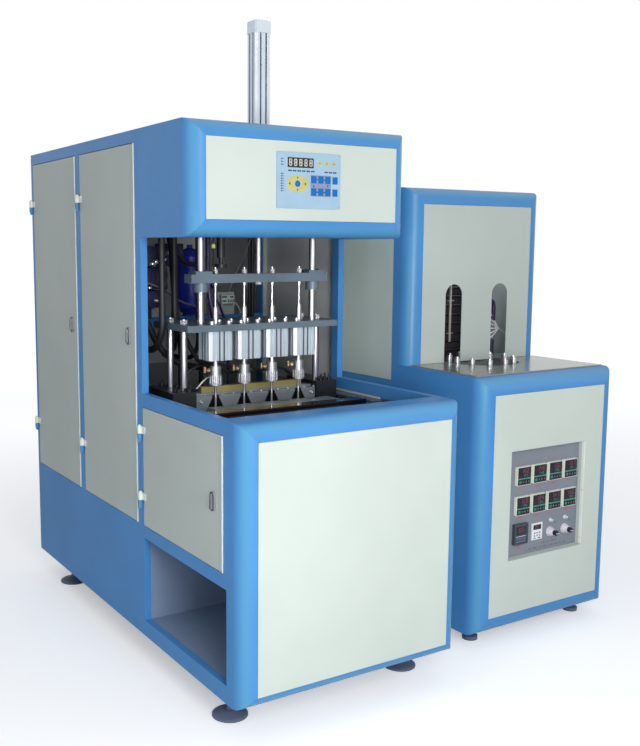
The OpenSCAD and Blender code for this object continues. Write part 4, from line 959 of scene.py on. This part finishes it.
# %% [markdown]
# ## Behind the blow station
#
# Through the open work space one looks into the tall cabinet: valves, hoses, cables and a relay
# box. None of it moves, and most of it is half in the dark, so a few well placed shapes are enough:
# valve bodies with bright push-in fittings, hoses that hang in one smooth bend, and a thin cable.

# %% Finishes of the air pieces
brass = metal("push_in_brass", srgb(150, 126, 82), 0.3, ROUND_Z, wander=0.1, metallic=0.8)
valve_violet = moulded("valve_body", srgb(40, 36, 82), 0.35)
hose_violet = moulded("violet_air_hose", srgb(44, 30, 96), 0.3)
cable_grey = moulded("grey_cable", srgb(134, 128, 136), 0.45)
cable_white = moulded("white_cable", srgb(250, 250, 252))
terminal_green = moulded("terminal_green", srgb(40, 120, 92))
lamp_yellow = glowing("gauge_tip", srgb(214, 216, 130), srgb(214, 216, 130), 0.35)

# %% Valve block and hoses
ROOF, SHELF, BED = 1897, 943.5, 994.5
FITTING = [(0, 0), (7, 0), (7, 5), (5.2, 6), (5.2, 13), (6.2, 14), (6.2, 17), (4, 18), (0, 18)]


def scaled(profile, factor):
    """The same turned profile, larger or smaller."""
    return [(r * factor, h * factor) for r, h in profile]


def pipes(name, finish, *runs):
    """Hoses or cables of one finish, each given as (radius, sides, points)."""
    for radius, sides, points in runs:
        shop.tube(points, radius, sides)
    shop.done(name, finish, "air_hoses")


shop.block((-712, 170, 1262), (-626, 262, 1330), 4)
shop.block((-700, 165, 1334), (-606, 262, 1420), 4)
shop.block((-690, 172, 1424), (-572, 262, 1505), 4)
for k in range(5):
    shop.block((-694 + 18 * k, 158, 1342), (-682 + 18 * k, 166, 1412), 1.5)
shop.block((-600, 230, 1450), (-500, 300, 1515), 6)
shop.done("valve_blocks", valve_violet, "control_box")
blocks("valve_bracket", drive_paint, "control_box",
       ((-708, 261.5, 1211), (-632, 267, 1500), 0.8),
       ((-708, 261.5, 1210.9), (-632, 350, 1215.5), 0.8))
for x, z in [(-604, 1476), (-582, 1470), (-628, 1452), (-658, 1444), (-672, 1436)]:
    shop.turned(scaled(FITTING, 1.5), (x, 173, z), "-Y", 20)
for x, z in [(-630, 1350), (-632, 1320), (-688, 1342), (-660, 1290)]:
    shop.turned(FITTING, (x, 166, z), "-Y", 20)
for x in (-650, -641):
    shop.block((x, 154, 1368), (x + 3, 166, 1428), 1)
shop.done("valve_fittings", zinc, "plate_screws")
blocks("regulator_case", case_grey, "control_box", ((-614, 324, 1282), (-553, 374, 1320), 2))
shop.turned([(0, 0), (11, 0), (11, 12), (9.5, 14), (0, 14)], (-601, 324, 1299), "-Y", 28)
shop.done("regulator_knob", moulded("regulator_blue", srgb(40, 128, 200), 0.3), "control_box")

pipes("black_hoses", hose_rubber,
      (11, 14, [(-656, 40, ROOF), (-656, 40, 1600), (-655, 40, 1530), (-651, 40, 1509),
                (-646, 40, 1432), (-641, 40, 1356), (-633, 38, 1278), (-625, 36, 1218),
                (-622, 30, 1160), (-626, 10, 1100), (-632, 0, 1030), (-632, 0, SHELF)]),
      (9, 14, [(-652, 60, ROOF), (-652, 60, 1600), (-648, 60, 1530), (-635, 60, 1501),
               (-613, 60, 1478), (-590, 62, 1452), (-567, 66, 1437), (-535, 74, 1434),
               (-508, 84, 1432), (-497, 90, 1404), (-497, 92, 1300), (-497, 92, SHELF)]),
      (3.5, 10, [(-624, 150, 1476), (-640, 120, 1462), (-652, 110, 1420), (-648, 112, 1370),
                 (-632, 148, 1350)]),
      (12, 14, [(-868, -112, ROOF), (-868, -112, 1400), (-860, -110, 1290), (-845, -104, 1262),
                (-813, -100, 1223), (-782, -100, 1158), (-739, -100, 1106), (-684, -100, 1071),
                (-611, -96, 1052), (-556, -92, 1036), (-528, -88, 1000), (-522, -86, SHELF)]),
      (9, 14, [(-703, -150, 1210.5), (-700, -150, 1196), (-681, -150, 1157), (-654, -150, 1113),
               (-626, -148, 1078), (-590, -140, 1064), (-556, -136, 1044), (-546, -134, BED)]),
      (7, 12, [(-722, -204, BED), (-712, -203, 1040), (-664, -200, 1070), (-620, -186, 1068),
               (-586, -182, 1058), (-506, -176, 1036), (-436, -176, 1058), (-388, -178, 1036),
               (-297, -176, 1042), (-235, -180, 1008), (-222, -182, BED)]),
      (9, 14, [(-121, 320, ROOF), (-121, 320, 1190)]),
      (5, 12, [(-137, 322, ROOF), (-137, 322, 1190)]))
pipes("violet_hoses", hose_violet,
      (9, 14, [(-513, 0, ROOF), (-513, 0, 1480), (-513, 0, 1432), (-508, 0, 1329),
               (-495, -2, 1250), (-488, -4, 1200), (-486, -4, 1130), (-486, -4, SHELF)]),
      (5, 12, [(-398, 308, 1366), (-388, 262, 1360), (-372, 210, 1330), (-366, 200, 1290),
               (-352, 196, 1256), (-332, 200, 1214), (-318, 204, 1190), (-308, 206, 1100),
               (-308, 206, SHELF)]))

# %% Cables, relay box and gauge tip
pipes("grey_cables", cable_grey,
      (3, 10, [(-796, 124, ROOF), (-796, 124, 1470), (-764, 123, 1390), (-716, 122, 1364),
               (-698, 120, 1358), (-651, 120, 1337), (-614, 120, 1313), (-585, 120, 1296),
               (-549, 120, 1279), (-504, 124, 1268), (-478, 134, 1258), (-466, 140, 1220),
               (-464, 142, SHELF)]),
      (3, 8, [(-108, 318, ROOF), (-110, 318, 1640), (-134, 318, 1533), (-241, 326, 1306)]),
      (3, 10, [(-622, 140, 1474), (-640, 128, 1452), (-626, 126, 1389), (-640, 140, 1316)]))
blocks("relay_board", case_white, "control_box", ((-276, 318, 1247), (-212, 324, 1295), 0.6))
blocks("relay_terminals", terminal_green, "control_box",
       ((-270, 312, 1250), (-222, 319, 1259), 0.8), ((-246, 310, 1266), (-216, 319, 1276), 0.8),
       ((-274, 313, 1284), (-252, 319, 1292), 0.8), ((-234, 313, 1283), (-220, 319, 1291), 0.8),
       ((-270, 314, 1266), (-254, 319, 1274), 0.8))
for k in range(7):
    shop.turned([(0, 0), (2.4, 0), (2.4, 1.2), (0, 1.2)], (-268 + 7 * k, 312, 1254.5), "-Y", 12)
for k in range(4):
    shop.block((-244 + 7 * k, 308.5, 1267), (-240 + 7 * k, 310.2, 1275), 0.4)
shop.done("relay_screws", zinc, "plate_screws")
pipes("white_cables", cable_white,
      (2.4, 8, [(-218, 311, 1262), (-208, 304, 1256), (-198, 303, 1236), (-188, 307, 1222),
                (-184, 324, 1212)]),
      (3, 10, [(-683, -232, 994), (-679, -230, 996), (-657, -228, 1016), (-630, -222, 1030),
               (-598, -212, 1030), (-574, -206, BED)]))
shop.turned([(0, 0), (6, 0), (8, 5), (8, 11), (5, 16), (0, 17)], (-488, 0, 1497), "Z", 20)
shop.done("gauge_tip", lamp_yellow, "air_filter")
pipes("gauge_cable", hose_rubber, (3, 10, [(-488, 0, ROOF), (-488, 0, 1514)]),
      (3, 10, [(-488, 0, 1497), (-487, 2, 1440), (-484, 4, 1380), (-482, 4, 1230),
               (-481, 4, SHELF)]))

# %% [markdown]
# ## Screws and fittings of the stretch and blow head
#
# Brass push-in fittings carry the air into each sealing head and travel with it, so each rides on
# its own blowing unit. Socket screws stand on the side blocks of the bed, along the moulds' top
# edge and on the moulds' fronts. A bright nut holds the piston rod under the stretch beam.

# %% Push-in fittings of the sealing heads
HEAD_X, ROD_Y = -469, -305
AXES = [HEAD_X + PITCH * (k - 1.5) for k in range(4)]
for unit, axis in enumerate(AXES, 1):
    repaint(f"blow_head_{unit}", brass,
            lambda c: c.z < 1.12 and math.hypot(c.x / MM - axis, c.y / MM - ROD_Y) > 24.5)

# %% Screws
SOCKET_SCREW = [(0, 0), (6.5, 0), (6.5, 6.2), (5.7, 7), (3.4, 7), (3.4, 3.5), (0, 3.5)]

for k in range(5):
    for side in (-22, 22):
        shop.turned(scaled(SOCKET_SCREW, 0.62), (HEAD_X + PITCH * (k - 2) + side, -290, 974),
                    "Z", 24)
for side in (-237, 237):
    shop.turned(scaled(SOCKET_SCREW, 0.9), (HEAD_X + side, -304.9, 956), "-Y", 24)
for side in (-107, 107):
    shop.turned(scaled(SOCKET_SCREW, 0.7), (HEAD_X + side, -257, 997.4), "Z", 24)
shop.done("mould_screws", zinc, "plate_screws")

for side in (-1, 1):
    for dx, dy in [(30, 40), (68, 40), (30, 10), (68, 10), (48, 196)]:
        x = HEAD_X + side * (252 + dx)
        y = -312 + dy
        shop.turned([(0, 0), (8, 0), (8, 10), (7, 11), (4.2, 11), (4.2, 6), (0, 6)],
                    (x, y, 994.9), "Z", 24)
        shop.turned([(0, 0), (3, 0), (3, 22), (2, 23), (0, 23)], (x + 12, y + 14, 994.9), "Z", 16)
shop.done("bed_screws", black_steel, "mould_bed")

shop.turned([(6.4, 0), (14, 0), (14, 2), (12.5, 2.4), (12.5, 9), (11, 10), (6.4, 10), (0, 10)],
            (HEAD_X, ROD_Y, 1377), "-Z", 6)
shop.turned([(0, 0), (16, 0), (16, 1.6), (0, 1.6)], (HEAD_X, ROD_Y, 1377), "-Z", 32)
shop.done("piston_rod_nut", zinc, "rod_nuts", "stretch_carriage")
for side in (-1, 1):
    for dx in (-24, 24):
        shop.turned(scaled(SOCKET_SCREW, 0.7), (HEAD_X + side * 235.5 + dx, ROD_Y, 1417.9),
                    "Z", 20)
shop.done("beam_screws", black_steel, "rod_nuts", "stretch_carriage")

# %% Painted highlights on door edges and hinge barrels, painted shade on latch grips
# Each door's front edge strip is paler than the door: a painted highlight where the edge catches
# the light.
door_edge_highlight_paint = painted("door_edge_painted_highlight", srgb(226, 236, 236), 0.3, coat=0.2, wander=0.03)
# The hinge barrels on the doors are paler than the doors: a painted highlight.
hinge_highlight_paint = painted("hinge_barrel_painted_highlight", srgb(236, 240, 228), 0.3, coat=0.3)
# A dark inlay on each latch grip stands for the dark gap at its lower side: painted shade.
latch_painted_shade = moulded("latch_painted_shade", srgb(20, 22, 26), 0.3)
for side in ("rear", "middle", "low"):
    low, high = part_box(f"door_{side}")
    front = low[1] / MM
    blocks(f"door_edge_{side}", door_edge_highlight_paint, f"door_{side}",
           ((-905.2, front, low[2] / MM), (-900.9, front + 3, high[2] / MM), 0.8),
           body=f"{side}_door")
    repaint(f"door_{side}", hinge_highlight_paint, lambda c: c.x < -0.9022)
    low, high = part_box(f"latch_{side}")
    y, z = (low[1] + high[1]) / 2 / MM, (low[2] + high[2]) / 2 / MM
    blocks(f"latch_painted_shade_{side}", latch_painted_shade, f"latch_{side}",
           ((-909.7, y + 5, z - 18), (-908.8, y + 11, z + 12), 0.3), body=f"{side}_latch")

# %% Table and interior finishes
inner_paint = painted("inner_grey_paint", srgb(212, 214, 213), 0.5, coat=0.0)
repaint("cabinet_panels", inner_paint,
        lambda c: -0.0395 < c.x < -0.0382 or 0.929 < c.y < 0.9306)
# The mould cavities are painted black: painted shade in the hollows.
for mould, wall_low, wall_high in (("rear_mould", -0.3045, -0.24), ("front_mould", -0.42, -0.3855)):
    repaint(mould, black_steel,
            lambda c: wall_low < c.y < wall_high and c.z < 0.9735
            and min(abs(c.x / MM - x) for x in AXES) < 43)
repaint("table_plates", ground_plate, lambda c: c.x > -0.14 and -0.531 < c.y < -0.1)
blocks("wall_strip", moulded("wall_strip", srgb(206, 200, 190)), "table_plates",
       ((-76, -520, 944), (-67, -245, 951), 1))

# %% [markdown]
# ## Inside the oven's tower
#
# The arches let one look past the disc into the oven. On the left a pale lamp holder stands upright
# before the dark reflector. On the right a corrugated loom climbs the wall, and white heat-proof
# wires come from the lamps' ends in a fan and join on their way to the wall.

# %% Lamps, loom and wires
# The reflector behind the lamps is given a dark colour.
reflector_dark = metal("dark_reflector_metal", srgb(48, 40, 48), 0.45, ALONG_X, wander=0.25,
                       metallic=0.4)
lamp_glass = moulded("lamp_tubes", srgb(34, 26, 36), 0.3, wander=0.1, specular=0.2)
loom_plastic = moulded("loom_plastic", srgb(56, 50, 80))
holder_pale = metal("lamp_holder_strip", srgb(206, 202, 190), 0.4, ALONG_Z, wander=0.1,
                    metallic=0.3)
wall_grey = painted("tower_inner_grey", srgb(198, 208, 206), 0.5, coat=0.0)


def in_lamp_tubes(c):
    """True for the faces of the lamp tubes, which lie before the reflector."""
    return c.y < -0.2095 and abs(c.x - 0.5535) < 0.143


repaint("lamp_bank", reflector_dark, lambda c: not in_lamp_tubes(c))
repaint("lamp_bank", lamp_glass, in_lamp_tubes)
repaint("oven_panels", wall_grey, lambda c: 0.9138 < c.x < 0.9155 or 0.325 < c.y < 0.3265)
blocks("lamp_holder", holder_pale, "lamp_bank", ((524, -238, 1103), (533, -231.5, 1345), 1),
       *(((509, -240, z - 1.4), (545, -237.5, z + 1.4), 0.5) for z in (1140, 1278)))

for low, high, across in ((1183, 1243, 811), (1036, 1098, 806)):
    shop.tube([(across, -206, low), (across + 2, -206, high)], 8, 14)
    for z in range(low + 2, high, 7):
        shop.turned([(7, -1.6), (11, -1.2), (11, 1.2), (7, 1.6), (0, 1.6)],
                    (across + 1, -206, z), "Z", 16)
shop.tube([(813, -206, 1240), (810, -206, 1256), (794, -208, 1270), (717, -216, 1276)], 8, 14)
shop.done("wire_loom", loom_plastic, "air_hoses")
wires = []
for k in range(6):
    z = 1212 - 22 * k
    wires.append((2.8, 8, [(716, -214, z), (790, -204, z), (812, -207, z - (z - 1146) * 0.3),
                           (838, -208, 1144 + (z - 1146) * 0.12), (858, -207, 1138),
                           (876, -206, 1128 - 1.6 * k), (892, -204, 1116 - 1.8 * k),
                           (914, -203, 1104 - 2 * k)]))
pipes("lamp_wires", cable_white, *wires)

# %% [markdown]
# ## Spindles
#
# Twelve turned spindles stand on the disc and carry the preforms by their necks: a flange, a body
# with a groove for the neck's ring, and a short nose. They are turned from one profile, and all
# twelve ride with the disc.

# %% Turn the spindles
SPINDLE = [(0, 0), (14.4, 0), (14.4, 3), (11.6, 4), (11.6, 6), (13, 7), (13, 15), (12.2, 15.6),
           (12.2, 17), (13, 17.6), (13, 20), (11.8, 21.4), (6.6, 22), (6.2, 27), (5, 28.4),
           (0, 28.4)]
DISC_RADIUS = 133
disc_x, disc_y = middle("spindle_disc")
foot_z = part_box("spindle_set")[0][2] / MM
for k in range(12):
    angle = math.radians(30 * k)
    shop.turned(SPINDLE, (disc_x + DISC_RADIUS * math.cos(angle),
                          disc_y + DISC_RADIUS * math.sin(angle), foot_z))
spindles = shop.done("turned_spindles", turned_steel, "spindle_set", "preform_disc")
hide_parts("spindle_set")

# %% Toggle tips and selector marks
tip_teal = moulded("toggle_tip", srgb(44, 150, 168), 0.3)
mark_white = moulded("selector_mark", srgb(232, 232, 236))
for side, x in (("left", 604), ("right", 686)):
    shop.turned([(0, 9), (3.1, 9), (3.6, 11), (3.6, 17), (2.6, 19.4), (0, 20)], (x, -764, 441),
                sides=24, tilt=Matrix.Rotation(math.radians(102), 4, "X"))
    shop.done(f"toggle_tip_{side}", tip_teal, f"toggle_{side}", f"{side}_toggle")
    blocks(f"selector_mark_{side}", mark_white, f"selector_{side}",
           ((x - 9.4, -796.2, 393.8), (x + 9.4, -795.3, 396.2), 0.3, 1), body=f"{side}_selector")

# %% Measure the result and finish
size = {
    "cad": [list(frame_box[0]), list(frame_box[1])],
    "visual": [list(corner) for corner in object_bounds()],
}
